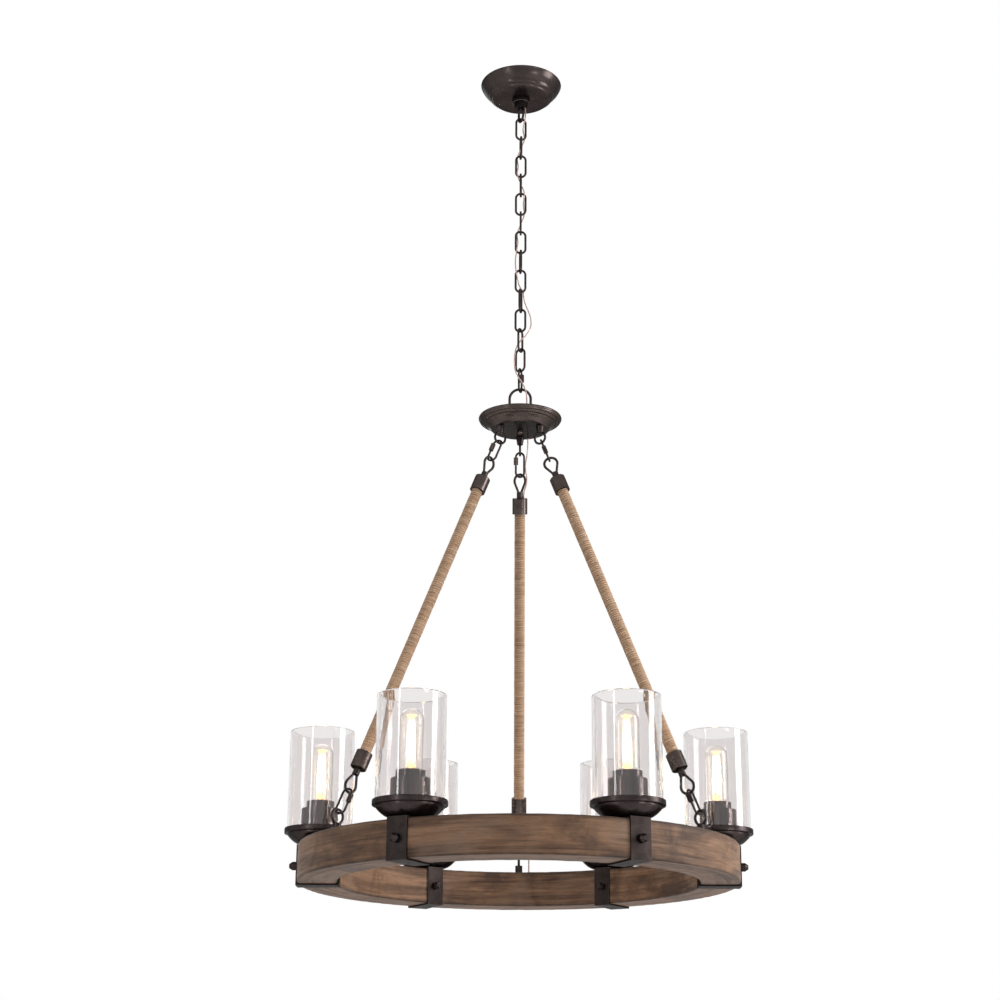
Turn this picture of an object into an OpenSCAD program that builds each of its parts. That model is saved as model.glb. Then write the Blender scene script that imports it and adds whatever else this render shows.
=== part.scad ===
// Wagon wheel chandelier: a wooden ring with six glass lamps, hung by three
// jute covered rods from a round hub, on a chain below a ceiling canopy.
// The origin is the centre of the canopy's rim, on the ceiling, and +Z is up.

/* [Ceiling canopy] */
// Outer diameter of the canopy's rim
canopy_d = 128; // [118:1:160]
// Height of the canopy, from the ceiling to its flat face
canopy_h = 26; // [22:1:34]
// Diameter of the canopy's flat face
canopy_face_d = 91; // [80:1:98]
// Diameter at the step between the canopy's two bands
canopy_step_d = 105; // [102:1:112]
// Depth of the upper band, from the ceiling to the step
canopy_band_h = 16; // [12:0.5:17]
// Width of the small ledge at the step
canopy_ledge = 1.6; // [1:0.1:3]
// Thickness of the canopy's sheet
canopy_wall = 1.2; // [0.8:0.1:2]
// Thickness of the rolled bead at the canopy's rim
canopy_bead_d = 2.6; // [2:0.1:4]
// Diameter of the hole that slides over the collar
canopy_hole_d = 22; // [22:0.5:24]
// Length of the ceiling crossbar
crossbar_l = 100; // [90:1:104]
// Width of the ceiling crossbar
crossbar_w = 18; // [14:1:24]
// Thickness of the ceiling crossbar
crossbar_t = 2; // [1.5:0.1:3]
// Distance between the centres of the crossbar's two slots
slot_spacing = 80; // [76:1:84]
// Distance that a screw can move along its slot
slot_travel = 10; // [6:1:10]
// Width of the slots, for the outlet box screws
slot_w = 4.6; // [4:0.1:5]
// Outer diameter of the threaded nipples
nipple_d = 9.6; // [9:0.1:10]
// Bore of the threaded nipples, for the wires
nipple_bore = 7; // [5:0.1:7.5]
// Length of the canopy's nipple
nipple_l = 34; // [30:1:38]
// Size across the flats of the lock nut
locknut_af = 14; // [12:1:17]
// Height of the lock nut
locknut_h = 4; // [3:0.5:6]
// Diameter of the threaded collar above the loop
collar_d = 20.6; // [20:0.1:21]
// How far the collar reaches up inside the canopy
collar_inside = 4; // [2:0.5:8]
// How far the collar reaches down below the canopy
collar_below = 16.5; // [12:0.5:20]
// Diameter of the ring nut that holds the canopy up
collar_nut_d = 27.5; // [25:0.5:34]
// Height of the ring nut
collar_nut_h = 7; // [5:0.5:9]
// Chamfer on the ring nut's edges
collar_nut_edge = 1; // [0.5:0.1:1.5]
// Inner length of the collar's loop
loop_in_l = 18; // [15:0.5:22]
// Inner width of the collar's loop
loop_in_w = 12; // [10:0.5:12]
// Thickness of the loop's rod
loop_wire = 4; // [3.5:0.1:4]
// How far the loop is let into the collar
loop_sink = 2; // [1:0.1:3]

/* [Chain] */
// Number of plain links
link_count = 13; // [13:1:13]
// Inner length of a link
link_in_l = 33.4; // [30:0.1:40]
// Inner width of a link
link_in_w = 11.7; // [11:0.1:14]
// Thickness of a link's wire
link_wire = 3.4; // [3:0.1:3.8]
// Inner length of a quick link
quick_in_l = 33.6; // [30:0.1:40]
// Inner width of a quick link
quick_in_w = 10.6; // [10:0.1:14]
// Thickness of a quick link's rod
quick_wire = 3.2; // [3:0.1:3.6]
// Length of the opening that the quick link's nut closes
quick_gap = 5; // [4:0.5:6]
// Length of the quick link's nut
quick_nut_l = 11.6; // [10:0.1:12]
// Size across the flats of the quick link's nut
quick_nut_af = 6.6; // [6:0.1:8]

/* [Hub] */
// Outer diameter of the hub's rim
hub_d = 126; // [110:1:150]
// Depth of the hub's pan, from its rim to its flat face
hub_pan_h = 20; // [16:1:26]
// Height of the hub's cover above the rim
hub_cover_h = 8; // [5:0.5:12]
// Diameter of the pan's flat face
hub_face_d = 84; // [80:1:90]
// Thickness of the hub's sheet
hub_wall = 1.4; // [1:0.1:2]
// Height of the straight edge at the hub's rim
hub_edge_h = 4; // [3:0.5:5]
// Width of each step in the pan, next to the rim
hub_step_w = 5; // [3:0.5:6]
// Height of each step in the pan
hub_step_h = 2.4; // [1.5:0.1:3]
// Diameter of the flat top of the hub's cover
hub_top_d = 60; // [50:1:80]
// Width of the bail between the centres of its legs
bail_w = 32; // [26:1:40]
// Thickness of the bail's rod
bail_wire = 4; // [3.5:0.1:5]
// Length of the bail's straight legs above the cover
bail_leg = 22.6; // [15:0.1:30]
// How far the bail's legs reach below the cover
bail_end = 6; // [5:0.5:8]
// Thread diameter of the hub eyes' shanks
hub_thread_d = 4; // [4:0.1:5]
// Size across the flats of the nuts inside the hub
hub_nut_af = 7; // [7:0.5:10]
// Height of the nuts inside the hub
hub_nut_h = 3.2; // [3:0.1:5]
// Distance of the hub's eyes from the centre line
hub_eye_r = 34.5; // [28:0.5:37]
// Middle diameter of a hub eye's ring
hub_eye_d = 17.5; // [16:0.1:20]
// Thickness of a hub eye's wire
hub_eye_wire = 3.5; // [3:0.1:4]
// Height of the collar above a hub eye
hub_eye_collar_h = 10.5; // [8:0.5:14]
// Diameter of that collar where it meets the pan
hub_eye_collar_d = 12; // [10:0.5:14]
// Diameter of that collar where it meets the eye
hub_eye_foot_d = 9; // [7:0.5:10]
// How far an eye's ring is let into its collar
eye_sink = 0.8; // [0.5:0.1:1.5]
// Diameter of the screw that ties the hub together
hub_screw_d = 5; // [4:0.1:6]
// Diameter of the round head below the hub
finial_d = 8; // [7:0.5:14]
// Height of the round head below the hub
finial_h = 7; // [5:0.5:12]
// Diameter of the boss under the cover that takes the hub's screw
hub_boss_d = 10; // [9:0.5:14]
// Height of that boss
hub_boss_h = 6; // [4:0.5:8]

/* [Hanging rods] */
// Height from the middle of a hub eye to the middle of a ring eye
bridle_drop = 588.4; // [450:1:750]
// Outer diameter of the jute covering
jute_d = 16.6; // [15:0.1:20]
// Outer diameter of the steel tube inside the jute
rod_tube_d = 8; // [8:0.1:10]
// Bore of the steel tube
rod_tube_bore = 6.2; // [5:0.1:7]
// Outer diameter of a rod's end cap
cap_d = 23; // [21.5:0.1:26]
// Length of a rod's end cap
cap_l = 24.5; // [18:0.5:32]
// Thickness of the cap's closed end
cap_end = 3; // [2:0.1:4]
// Chamfer on the cap's closed end
cap_edge = 1; // [0.5:0.1:1.5]
// Middle radius of a pear shaped eye
pear_r = 9.8; // [9:0.1:10.5]
// Thickness of a pear shaped eye's wire
pear_wire = 3.8; // [3.4:0.1:4]
// Thickness of the eye's straight sides
pear_side_d = 3.6; // [3:0.1:3.7]
// Angle at which the pear shape narrows
pear_taper = 25; // [20:1:30]
// Distance of the eye's sides from the middle where they meet the neck
pear_foot = 2.6; // [2:0.1:3.4]
// Diameter of the neck below a pear shaped eye
neck_d = 9.8; // [9:0.1:12]
// Height of that neck
neck_h = 9.5; // [6:0.5:14]
// Diameter of the eye's shank inside the cap and the tube
shank_d = 5.9; // [5:0.1:6]
// Length of the eye's shank
shank_l = 16; // [10:1:20]

/* [Wooden ring] */
// Outer diameter of the wooden ring
ring_d = 620; // [500:5:760]
// Width of the ring's section, across
ring_w = 56; // [50:1:70]
// Height of the ring's section
ring_h = 52; // [46:1:70]
// Number of lamps, and of wooden segments
lamp_count = 6; // [6:1:6]
// Angle from a strap's bolt to the joint between two segments
joint_angle = 1.9; // [1.4:0.1:2.2]
// Width of the straps, along the ring
strap_w = 28; // [24:1:34]
// Thickness of the straps
strap_t = 2; // [1.5:0.1:3]
// Diameter of the bolts through the straps
bolt_d = 6; // [5:0.1:8]
// Diameter of the bolt's round head
bolt_head_d = 12; // [10:0.5:16]
// Height of the straight part of the bolt's head
bolt_head_h = 6; // [4:0.5:7]
// Height of the sloping part of the bolt's head
bolt_dome_h = 4.5; // [3:0.5:6]
// Size across the flats of the cap nut on the inside
bolt_nut_af = 10; // [9:0.5:13]
// Height of the cap nut's hexagon
bolt_nut_h = 5; // [4:0.5:8]
// Middle diameter of a ring eye
ring_eye_d = 19.2; // [17:0.1:22]
// Thickness of a ring eye's wire
ring_eye_wire = 3.8; // [3.5:0.1:4]
// Height of a ring eye's middle above the wood
ring_eye_stand = 21.5; // [18:0.5:30]
// Diameter of the collar below a ring eye
ring_eye_collar_d = 11; // [9:0.5:14]
// Diameter of the flange that rests on the wood
ring_eye_flange_d = 18; // [14:0.5:24]
// Thickness of that flange
ring_eye_flange_t = 1.6; // [1:0.1:3]
// Diameter of the ring eye's screw in the wood
lag_d = 5.8; // [5:0.1:7]
// Length of that screw
lag_l = 26; // [18:1:34]

/* [Lamps] */
// Outer diameter of a cup's rim
cup_d = 99; // [96:1:110]
// Height of the straight band at the cup's rim
cup_band_h = 7.5; // [5:0.5:10]
// Depth of the cup's lower part, below the band
cup_bowl_h = 16.5; // [12:0.5:20]
// Diameter of the lower part just below the band
cup_bowl_d = 87; // [82:1:90]
// Diameter of the cup where it starts to flatten
cup_low_d = 62; // [56:1:70]
// Diameter of the cup's flat foot
cup_foot_d = 46; // [40:1:50]
// Height at which the cup starts to flatten
cup_low_h = 3.5; // [2:0.5:5]
// Thickness of the cup's sheet
cup_wall = 1.5; // [1:0.1:2]
// Outer diameter of the glass shade
shade_d = 92; // [88:1:92]
// Height of the glass shade
shade_h = 145; // [110:1:180]
// Thickness of the glass
shade_wall = 3; // [2:0.1:4]
// Diameter of the hole in the shade's floor
shade_hole_d = 38; // [36:1:42]
// Outer diameter of the socket's sleeve
sleeve_d = 52.5; // [48:0.5:60]
// Height of the socket's sleeve
sleeve_h = 31; // [24:1:36]
// Outer diameter of the ring on top of the sleeve
sleeve_ring_d = 39.5; // [38:0.5:44]
// Height of the ring on top of the sleeve
sleeve_ring_h = 10; // [6:0.5:12]
// Thickness of the sleeve's sheet
sleeve_wall = 1.6; // [1:0.1:2]
// Outer diameter of the lamp holder
holder_d = 34; // [32:0.5:35]
// Height of the lamp holder
holder_h = 56; // [50:1:64]
// Depth of the lamp holder's threaded socket
socket_depth = 30; // [28:1:36]
// Length of the nipple under a lamp holder
lamp_nipple_l = 25; // [20:1:26]
// How deep that nipple reaches into the wood
lamp_nipple_in = 13; // [10:1:14]
// Diameter of the bulb's screw cap
bulb_cap_d = 26; // [26:0.1:26.5]
// Height of the bulb's screw cap
bulb_cap_h = 24; // [22:1:27]
// Height of the contact under the screw cap
bulb_tip_h = 4; // [3:0.5:5]
// Diameter of the bulb's tubular glass
bulb_d = 32; // [28:0.5:34]
// Length of the bulb's glass above its screw cap
bulb_glass_l = 89; // [70:1:110]
// Height over which the glass widens above the screw cap
bulb_flare_h = 12; // [8:1:16]
// Thickness of the bulb's glass
bulb_wall = 1; // [0.8:0.1:1.5]
// Diameter of the neck of the bulb's glass
bulb_neck_d = 24.8; // [22:0.1:25]
// How deep the glass sits in the screw cap
bulb_seat = 3.3; // [3:0.1:5]
// Number of filaments in a bulb
filament_count = 4; // [2:1:6]
// Thickness of a filament
filament_d = 1.8; // [1:0.1:2.5]
// Distance of the filaments from the bulb's middle
filament_r = 5.5; // [4:0.1:7]
// Diameter of the discs that hold the filaments
filament_disc_d = 14; // [12:0.5:16]
// Thickness of those discs
filament_disc_t = 1; // [0.8:0.1:2]
// Diameter of the stem in the middle of the bulb
filament_stem_d = 3; // [2:0.1:5]
// Height of the lower disc above the screw cap
filament_low = 12; // [8:1:16]
// Distance from the upper disc to the top of the glass
filament_top = 9; // [6:0.5:14]

/* [Cord] */
// Thickness of the lamp cord
cord_d = 2; // [1.8:0.1:2.2]
// Number of sides of the cord's tube
cord_sides = 8; // [8:1:8]

/* [Clearances] */
// Gap between two links, eyes or loops that hang in each other
hang_gap = 0.35; // [0.3:0.01:0.45]
// Gap at the lower quick links, where each rod follows the turning ring
open_gap = 1; // [0.8:0.1:1.2]
// Radial gap around threads, shanks and nuts
thread_gap = 0.1; // [0.05:0.01:0.15]
// Radial gap between the round canopy nut and its collar
nut_gap = 0.4; // [0.35:0.01:0.5]
// Gap between faces that rest on each other
seat_gap = 0.1; // [0.05:0.01:0.3]
// Gap between a strap and the wood that it wraps
strap_gap = 0.2; // [0.1:0.05:0.3]
// Gap between the ends of two wooden segments
joint_gap = 0.3; // [0.2:0.05:0.5]

/* [Hidden] */
// Overrun of every cut
over = 1;
// How far an eye's straight side runs into its bend
lap = 1;
$fn = 64;
ring_fn = 180;

// Directions of the two front rods and the back rod, and of the pieces on them,
// each as the way that a flat loop faces, turned from the X axis
rod_azimuths = [210, 330, 90];
hub_eye_yaws = rod_azimuths;
upper_link_yaws = [152, 80, 156];
pear_yaws = [50, -8, 34];
lower_link_yaws = [-25, 233, -12];
lower_pear_yaws = [50, -33, 60];
ring_eye_yaws = [45, -47, 90];

// Way that the loop, each plain link and the chain's quick link faces
loop_yaw = 115;
link_yaws = [10, 96, 2, 88, -4, 90, 6, 97, 4, 78, -8, 66, -30];
chain_quick_yaw = 72;

pitch = link_in_l - hang_gap;
ring_out_r = ring_d / 2;
ring_in_r = ring_out_r - ring_w;
ring_mid_r = ring_out_r - ring_w / 2;
lamp_step = 360 / lamp_count;

// Heights down the object, each from the one above it
collar_z = -canopy_h - collar_below;
loop_z = collar_z + loop_sink - loop_wire - loop_in_l / 2;
chain_z = loop_z - loop_in_l / 2 + hang_gap;
chain_quick_z = chain_z - link_count * pitch;
bail_top_z = chain_quick_z - quick_in_l + hang_gap;
bail_z = bail_top_z - bail_w / 2 + bail_wire / 2;
cover_z = bail_z - bail_leg;
hub_rim_z = cover_z - hub_cover_h;
hub_face_z = hub_rim_z - hub_pan_h;
hub_eye_z = hub_face_z - hub_eye_collar_h - hub_eye_d / 2 + eye_sink;
ring_eye_z = hub_eye_z - bridle_drop;
wood_z = ring_eye_z - ring_eye_stand;

// Slope and length of the line from a hub eye to a ring eye
rod_run = ring_mid_r - hub_eye_r;
rod_tilt = atan(rod_run / bridle_drop);
rod_line = norm([rod_run, bridle_drop]);

// Pear shaped eye: length of its straight sides, and height of its round part
pear_side = (pear_r * cos(pear_taper) - pear_foot) / sin(pear_taper);
pear_height = pear_r * sin(pear_taper) + pear_side * cos(pear_taper);

// Places along that line, counted down from the hub eye's middle
upper_link_at = hub_eye_d / 2 - hub_eye_wire / 2 - hang_gap + quick_in_l / 2;
upper_bar_at = upper_link_at + quick_in_l / 2 - hang_gap - pear_wire / 2;
upper_cap_at = upper_bar_at + neck_h - eye_sink + pear_height + pear_r;
lower_link_at = rod_line - ring_eye_d / 2 + ring_eye_wire / 2 + open_gap - quick_in_l / 2;
lower_bar_at = lower_link_at - quick_in_l / 2 + open_gap + pear_wire / 2;
lower_cap_at = lower_bar_at - neck_h + eye_sink - pear_height - pear_r;

// Rod between the caps' closed ends
rod_inner_l = lower_cap_at - upper_cap_at - 2 * (cap_end + seat_gap);
rod_mid_at = (upper_cap_at + lower_cap_at) / 2;

// Lamp heights above the wood
cup_z = strap_gap + strap_t + seat_gap;
ledge_z = cup_z + cup_bowl_h + cup_wall;
shade_z = ledge_z + seat_gap;
sleeve_z = shade_z + shade_wall + seat_gap;
holder_z = cup_z + cup_wall + seat_gap;
socket_z = holder_z + holder_h - socket_depth;
bulb_z = socket_z + hang_gap + bulb_tip_h;

// Quick link's opening and nut, up from the link's middle
quick_straight = quick_in_l - quick_in_w;
quick_nut_at = quick_straight / 2 - quick_nut_l / 2;
quick_gap_at = quick_straight / 2 - quick_gap;

// Hole that the cord leaves by, under the collar
cord_out = [6.5, -3.5];
// Hole in the hub's cover where the cord goes in
cord_in = [9, 9];
// Place on the pan where the cord comes out, beside the back rod's eye
cord_pan = [12, 34];
cord_hole_d = cord_d + 2 * hang_gap;
// Distance of the cord from the middle of the back rod
cord_rod_r = 6.25;
// Hole in the wood where the cord ends, next to the back ring eye
cord_wood = [15.5, 282];
// Depth of that hole
cord_wood_h = 14;

// Route of the cord: in the canopy, along the chain, through the hub to the back rod
upper_route = [
    [14, -13, -1], [13.5, -12, -6], [10, -8, -12], [6.8, -4.2, -18], [6.5, -3.5, -23],
    [6.5, -3.5, -38], [6.5, -3.5, -44], [7.2, -4.5, -52], [6.8, -6, -62], [4.4, -3.2, -72],
    [3.4, 2, -80], [5.5, 5.5, -94], [0.5, 4, -110], [-5.5, 5.5, -127], [-4.2, 0.5, -145],
    [-5.5, -5.5, -161], [0, -4.2, -178], [5.5, -5.5, -194], [4.2, 0, -211], [5.5, 5.5, -227],
    [0, 4.2, -244], [-5.5, 5.5, -260], [-4.2, -0.5, -277], [-6, -6, -293], [-8, -6.5, -310],
    [-7, -5.4, -328], [-3.8, -0.5, -343], [-1.5, 4.2, -350], [3.8, 5, -358], [4.8, 5, -366],
    [7, 7.5, -377], [15, 5, -400], [16, 3, -418], [9, -1, -434], [3.5, -2.4, -440],
    [-1, -1.6, -446], [-5.2, -1.8, -453], [-7.5, -4, -461], [-9, -7.5, -476], [-8.5, -7, -490],
    [-6.5, -9.5, -500], [-2.5, -10.8, -508], [4, -9, -518], [9, -4, -530], [10, 5, -546],
    [9, 9, -556], [9, 9, -564], [10, 15, -571], [12, 24, -577], [12.5, 31, -582],
    [12, 34, -588], [12, 35, -597], [11.5, 37.5, -606], [10.5, 41.5, -616], [8.6, 45, -626],
    [8.6, 49, -636], [10.6, 52, -648], [9.8, 55, -657], [7.2, 58.6, -665], [6.25, 60.5, -670]
];
// Route from the back rod's lower cap to the wood
lower_route = [
    [6.25, 256, -1134.6], [7.5, 258.6, -1141], [10, 262, -1149], [12.5, 266, -1160],
    [14.5, 271, -1174], [15.5, 277, -1190], [15.5, 281.5, -1204], [15.5, 282, -1214],
    [15.5, 282, -1229]
];

module bronze() color([0.22, 0.19, 0.18]) children();
module steel() color([0.62, 0.61, 0.6]) children();
module jute() color([0.78, 0.63, 0.45]) children();
module wood() color([0.44, 0.32, 0.24]) children();
module clear_glass() color([0.87, 0.85, 0.84, 0.45]) children();

// Outline of a spun sheet: the outer points, then the same points moved in by the wall
function sheet(points, wall, top) = concat(
    points,
    [for (i = [len(points) - 1:-1:0]) [max(points[i].x - wall, 0), min(points[i].y + wall, top)]]
);

// Flat oval ring of round rod, standing in the XZ plane around the origin
module oval(in_l, in_w, wire) {
    bend_r = (in_w + wire) / 2;
    straight = in_l - in_w;
    for (turn = [0, 180])
        rotate([0, turn, 0]) {
            translate([0, 0, straight / 2])
                rotate([90, 0, 0])
                    rotate_extrude(angle = 180)
                        translate([bend_r, 0])
                            circle(d = wire);
            translate([bend_r, 0, -straight / 2])
                cylinder(d = wire, h = straight);
        }
}

// Round ring of round rod, standing in the XZ plane around the origin
module round_eye(mid_d, wire)
    rotate([90, 0, 0])
        rotate_extrude()
            translate([mid_d / 2, 0])
                circle(d = wire);

module tube(outer_d, bore_d, l)
    difference() {
        cylinder(d = outer_d, h = l);
        translate([0, 0, -over])
            cylinder(d = bore_d, h = l + 2 * over);
    }

module hex_prism(flats, l)
    cylinder(d = flats / cos(30), h = l, $fn = 6);

module hex_nut(flats, bore_d, l)
    difference() {
        hex_prism(flats, l);
        translate([0, 0, -over])
            cylinder(d = bore_d, h = l + 2 * over);
    }

// Places a piece on the line from hub eye to ring eye, at a distance down that line
module on_line(side, distance, yaw)
    rotate([0, 0, rod_azimuths[side]])
        translate([hub_eye_r, 0, hub_eye_z])
            rotate([0, -rod_tilt, 0])
                translate([0, 0, -distance])
                    rotate([0, 0, yaw - rod_azimuths[side]])
                        children();

// Places a piece at each lamp, on top of the wood
module at_lamps()
    for (i = [0:lamp_count - 1])
        at_lamp(i)
            children();

module at_lamp(i)
    rotate([0, 0, i * lamp_step])
        translate([ring_mid_r, 0, wood_z])
            children();

// Ceiling canopy and what hangs under it

module canopy() {
    rim_r = canopy_d / 2;
    step_r = canopy_step_d / 2;
    face_r = canopy_face_d / 2;
    outline = [
        [rim_r, 0], [rim_r, -canopy_bead_d], [step_r + canopy_ledge, -canopy_band_h],
        [step_r, -canopy_band_h - canopy_ledge / 2],
        [face_r + canopy_ledge, -canopy_h + 2 * canopy_ledge],
        [face_r, -canopy_h + canopy_ledge / 2], [face_r - canopy_ledge, -canopy_h], [0, -canopy_h]
    ];
    bronze()
        difference() {
            union() {
                rotate_extrude()
                    polygon(sheet(outline, canopy_wall, 0));
                rotate_extrude()
                    translate([rim_r - canopy_bead_d / 2, -canopy_bead_d / 2])
                        circle(d = canopy_bead_d);
            }
            translate([0, 0, -canopy_h - over])
                cylinder(d = canopy_hole_d, h = canopy_wall + 2 * over);
        }
}

module ceiling_crossbar()
    steel()
        difference() {
            translate([-crossbar_l / 2, -crossbar_w / 2, -crossbar_t])
                cube([crossbar_l, crossbar_w, crossbar_t]);
            translate([0, 0, -crossbar_t - over])
                cylinder(d = nipple_d + 2 * thread_gap, h = crossbar_t + 2 * over);
            for (side = [-1, 1])
                translate([side * slot_spacing / 2, 0, -crossbar_t - over])
                    slot_cut(crossbar_t + 2 * over);
        }

module slot_cut(depth) {
    translate([-slot_travel / 2, -slot_w / 2, 0])
        cube([slot_travel, slot_w, depth]);
    for (side = [-1, 1])
        translate([side * slot_travel / 2, 0, 0])
            cylinder(d = slot_w, h = depth);
}

module canopy_nipple()
    steel()
        translate([0, 0, -nipple_l])
            tube(nipple_d, nipple_bore, nipple_l);

module nipple_locknut()
    steel()
        translate([0, 0, -crossbar_t - seat_gap - locknut_h])
            hex_nut(locknut_af, nipple_d + 2 * thread_gap, locknut_h);

module collar_loop()
    bronze() {
        difference() {
            translate([0, 0, collar_z])
                cylinder(d = collar_d, h = collar_below + collar_inside);
            translate([0, 0, -nipple_l - seat_gap])
                cylinder(d = nipple_d + 2 * thread_gap, h = nipple_l);
            translate([cord_out.x, cord_out.y, collar_z - over])
                cylinder(d = cord_hole_d, h = collar_below + collar_inside + 2 * over);
        }
        translate([0, 0, loop_z])
            rotate([0, 0, loop_yaw])
                oval(loop_in_l, loop_in_w, loop_wire);
    }

module collar_nut() {
    outer_r = collar_nut_d / 2;
    bore_r = collar_d / 2 + nut_gap;
    bronze()
        translate([0, 0, -canopy_h - seat_gap - collar_nut_h])
            rotate_extrude()
                polygon([
                    [bore_r, 0], [outer_r - collar_nut_edge, 0], [outer_r, collar_nut_edge],
                    [outer_r, collar_nut_h - collar_nut_edge],
                    [outer_r - collar_nut_edge, collar_nut_h], [bore_r, collar_nut_h]
                ]);
}

// Chain

module chain_link(i)
    bronze()
        translate([0, 0, chain_z - i * pitch - link_in_l / 2])
            rotate([0, 0, link_yaws[i]])
                oval(link_in_l, link_in_w, link_wire);

module quick_link()
    difference() {
        oval(quick_in_l, quick_in_w, quick_wire);
        translate([quick_in_w / 2 - over, -quick_wire, quick_gap_at])
            cube([quick_wire + 2 * over, 2 * quick_wire, quick_gap]);
    }

module quick_nut()
    translate([(quick_in_w + quick_wire) / 2, 0, quick_nut_at - quick_nut_l / 2])
        hex_nut(quick_nut_af, quick_wire + 2 * thread_gap, quick_nut_l);

module at_chain_quick()
    translate([0, 0, chain_quick_z - quick_in_l / 2])
        rotate([0, 0, chain_quick_yaw])
            children();

module chain_quick_link()
    bronze()
        at_chain_quick()
            quick_link();

module chain_quick_nut()
    bronze()
        at_chain_quick()
            quick_nut();

// Hub

module hub_bail()
    bronze()
        translate([0, 0, bail_z]) {
            rotate([90, 0, 0])
                rotate_extrude(angle = 180)
                    translate([bail_w / 2, 0])
                        circle(d = bail_wire);
            for (side = [-1, 1])
                translate([side * bail_w / 2, 0, -bail_leg - bail_end])
                    cylinder(d = bail_wire, h = bail_leg + bail_end);
        }

module hub_cover() {
    rim_r = hub_d / 2 - hub_wall - seat_gap;
    low = -hub_cover_h - hub_edge_h + hub_wall + seat_gap;
    outline = [
        [0, 0], [hub_top_d / 2, 0], [rim_r - hub_step_w, -hub_cover_h], [rim_r, -hub_cover_h],
        [rim_r, low], [rim_r - hub_step_w - hub_wall, low], [hub_top_d / 2 - hub_wall, -hub_wall],
        [0, -hub_wall]
    ];
    bronze()
        translate([0, 0, cover_z])
            difference() {
                union() {
                    rotate_extrude()
                        polygon(outline);
                    translate([0, 0, -hub_wall - hub_boss_h])
                        cylinder(d = hub_boss_d, h = hub_wall / 2 + hub_boss_h);
                }
                translate([0, 0, -hub_cover_h - 2 * over])
                    cylinder(d = hub_screw_d + 2 * thread_gap, h = hub_cover_h + 2 * over - hub_wall / 2);
                for (side = [-1, 1])
                    translate([side * bail_w / 2, 0, -hub_wall - over])
                        cylinder(d = bail_wire + 2 * thread_gap, h = hub_wall + 2 * over);
                translate([cord_in.x, cord_in.y, -hub_wall - over])
                    cylinder(d = cord_hole_d, h = hub_wall + 2 * over);
            }
}

module hub_pan() {
    rim_r = hub_d / 2;
    face_r = hub_face_d / 2;
    deep = -hub_pan_h;
    ledge = hub_step_w / 3;
    step_r = rim_r - hub_step_w;
    low_r = step_r - hub_step_w;
    outline = [
        [rim_r, 0], [rim_r, -hub_edge_h], [rim_r - ledge, -hub_edge_h - hub_step_h],
        [step_r, -hub_edge_h - hub_step_h], [step_r - ledge, -hub_edge_h - 2 * hub_step_h],
        [low_r, -hub_edge_h - 2 * hub_step_h], [low_r - ledge, -hub_edge_h - 3 * hub_step_h],
        [face_r + ledge, deep + hub_wall], [face_r - ledge, deep], [0, deep]
    ];
    bronze()
        translate([0, 0, hub_rim_z])
            difference() {
                rotate_extrude()
                    polygon(sheet(outline, hub_wall, 0));
                translate([0, 0, deep - over])
                    cylinder(d = hub_screw_d + 2 * thread_gap, h = hub_wall + 2 * over);
                for (azimuth = rod_azimuths)
                    rotate([0, 0, azimuth])
                        translate([hub_eye_r, 0, deep - over])
                            cylinder(d = hub_thread_d + 2 * thread_gap, h = hub_wall + 2 * over);
                translate([cord_pan.x, cord_pan.y, deep - over])
                    cylinder(d = cord_hole_d, h = hub_wall + 2 * over);
            }
}

module hub_screw() {
    screw_l = hub_pan_h + hub_cover_h - hub_wall - seat_gap;
    head_r = finial_d / 2;
    bronze()
        translate([0, 0, hub_face_z - seat_gap]) {
            cylinder(d = hub_screw_d, h = screw_l);
            rotate_extrude()
                intersection() {
                    union() {
                        translate([0, head_r - finial_h])
                            circle(r = head_r);
                        translate([0, head_r - finial_h])
                            square([head_r, finial_h - head_r]);
                    }
                    translate([0, -finial_h])
                        square([head_r, finial_h]);
                }
        }
}

module hub_eyes()
    bronze()
        for (side = [0:2])
            rotate([0, 0, rod_azimuths[side]])
                translate([hub_eye_r, 0, hub_eye_z])
                    rotate([0, 0, hub_eye_yaws[side] - rod_azimuths[side]])
                        hub_eye();

module hub_eye() {
    collar_low = hub_eye_d / 2 - eye_sink;
    shank = hub_wall + hub_nut_h + hub_thread_d;
    round_eye(hub_eye_d, hub_eye_wire);
    translate([0, 0, collar_low])
        cylinder(d1 = hub_eye_foot_d, d2 = hub_eye_collar_d, h = hub_eye_collar_h - seat_gap);
    translate([0, 0, collar_low + hub_eye_collar_h - seat_gap])
        cylinder(d = hub_thread_d, h = shank);
}

module hub_nuts() {
    bore = hub_thread_d + 2 * thread_gap;
    steel() {
        for (azimuth = rod_azimuths)
            rotate([0, 0, azimuth])
                translate([hub_eye_r, 0, hub_face_z + hub_wall + seat_gap])
                    hex_nut(hub_nut_af, bore, hub_nut_h);
        for (side = [-1, 1])
            translate([side * bail_w / 2, 0, cover_z - hub_wall - seat_gap - hub_nut_h])
                hex_nut(hub_nut_af, bail_wire + 2 * thread_gap, hub_nut_h);
    }
}

// Quick links on the rods

module upper_quick_links()
    bronze()
        for (side = [0:2])
            on_line(side, upper_link_at, upper_link_yaws[side])
                quick_link();

module upper_quick_nuts()
    bronze()
        for (side = [0:2])
            on_line(side, upper_link_at, upper_link_yaws[side])
                quick_nut();

module lower_quick_links()
    bronze()
        for (side = [0:2])
            on_line(side, lower_link_at, lower_link_yaws[side])
                quick_link();

module lower_quick_nuts()
    bronze()
        for (side = [0:2])
            on_line(side, lower_link_at, lower_link_yaws[side])
                quick_nut();

// Hanging rods

module rod_tube(side)
    steel()
        on_line(side, rod_mid_at, 0)
            translate([0, 0, -rod_inner_l / 2])
                tube(rod_tube_d, rod_tube_bore, rod_inner_l);

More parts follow.
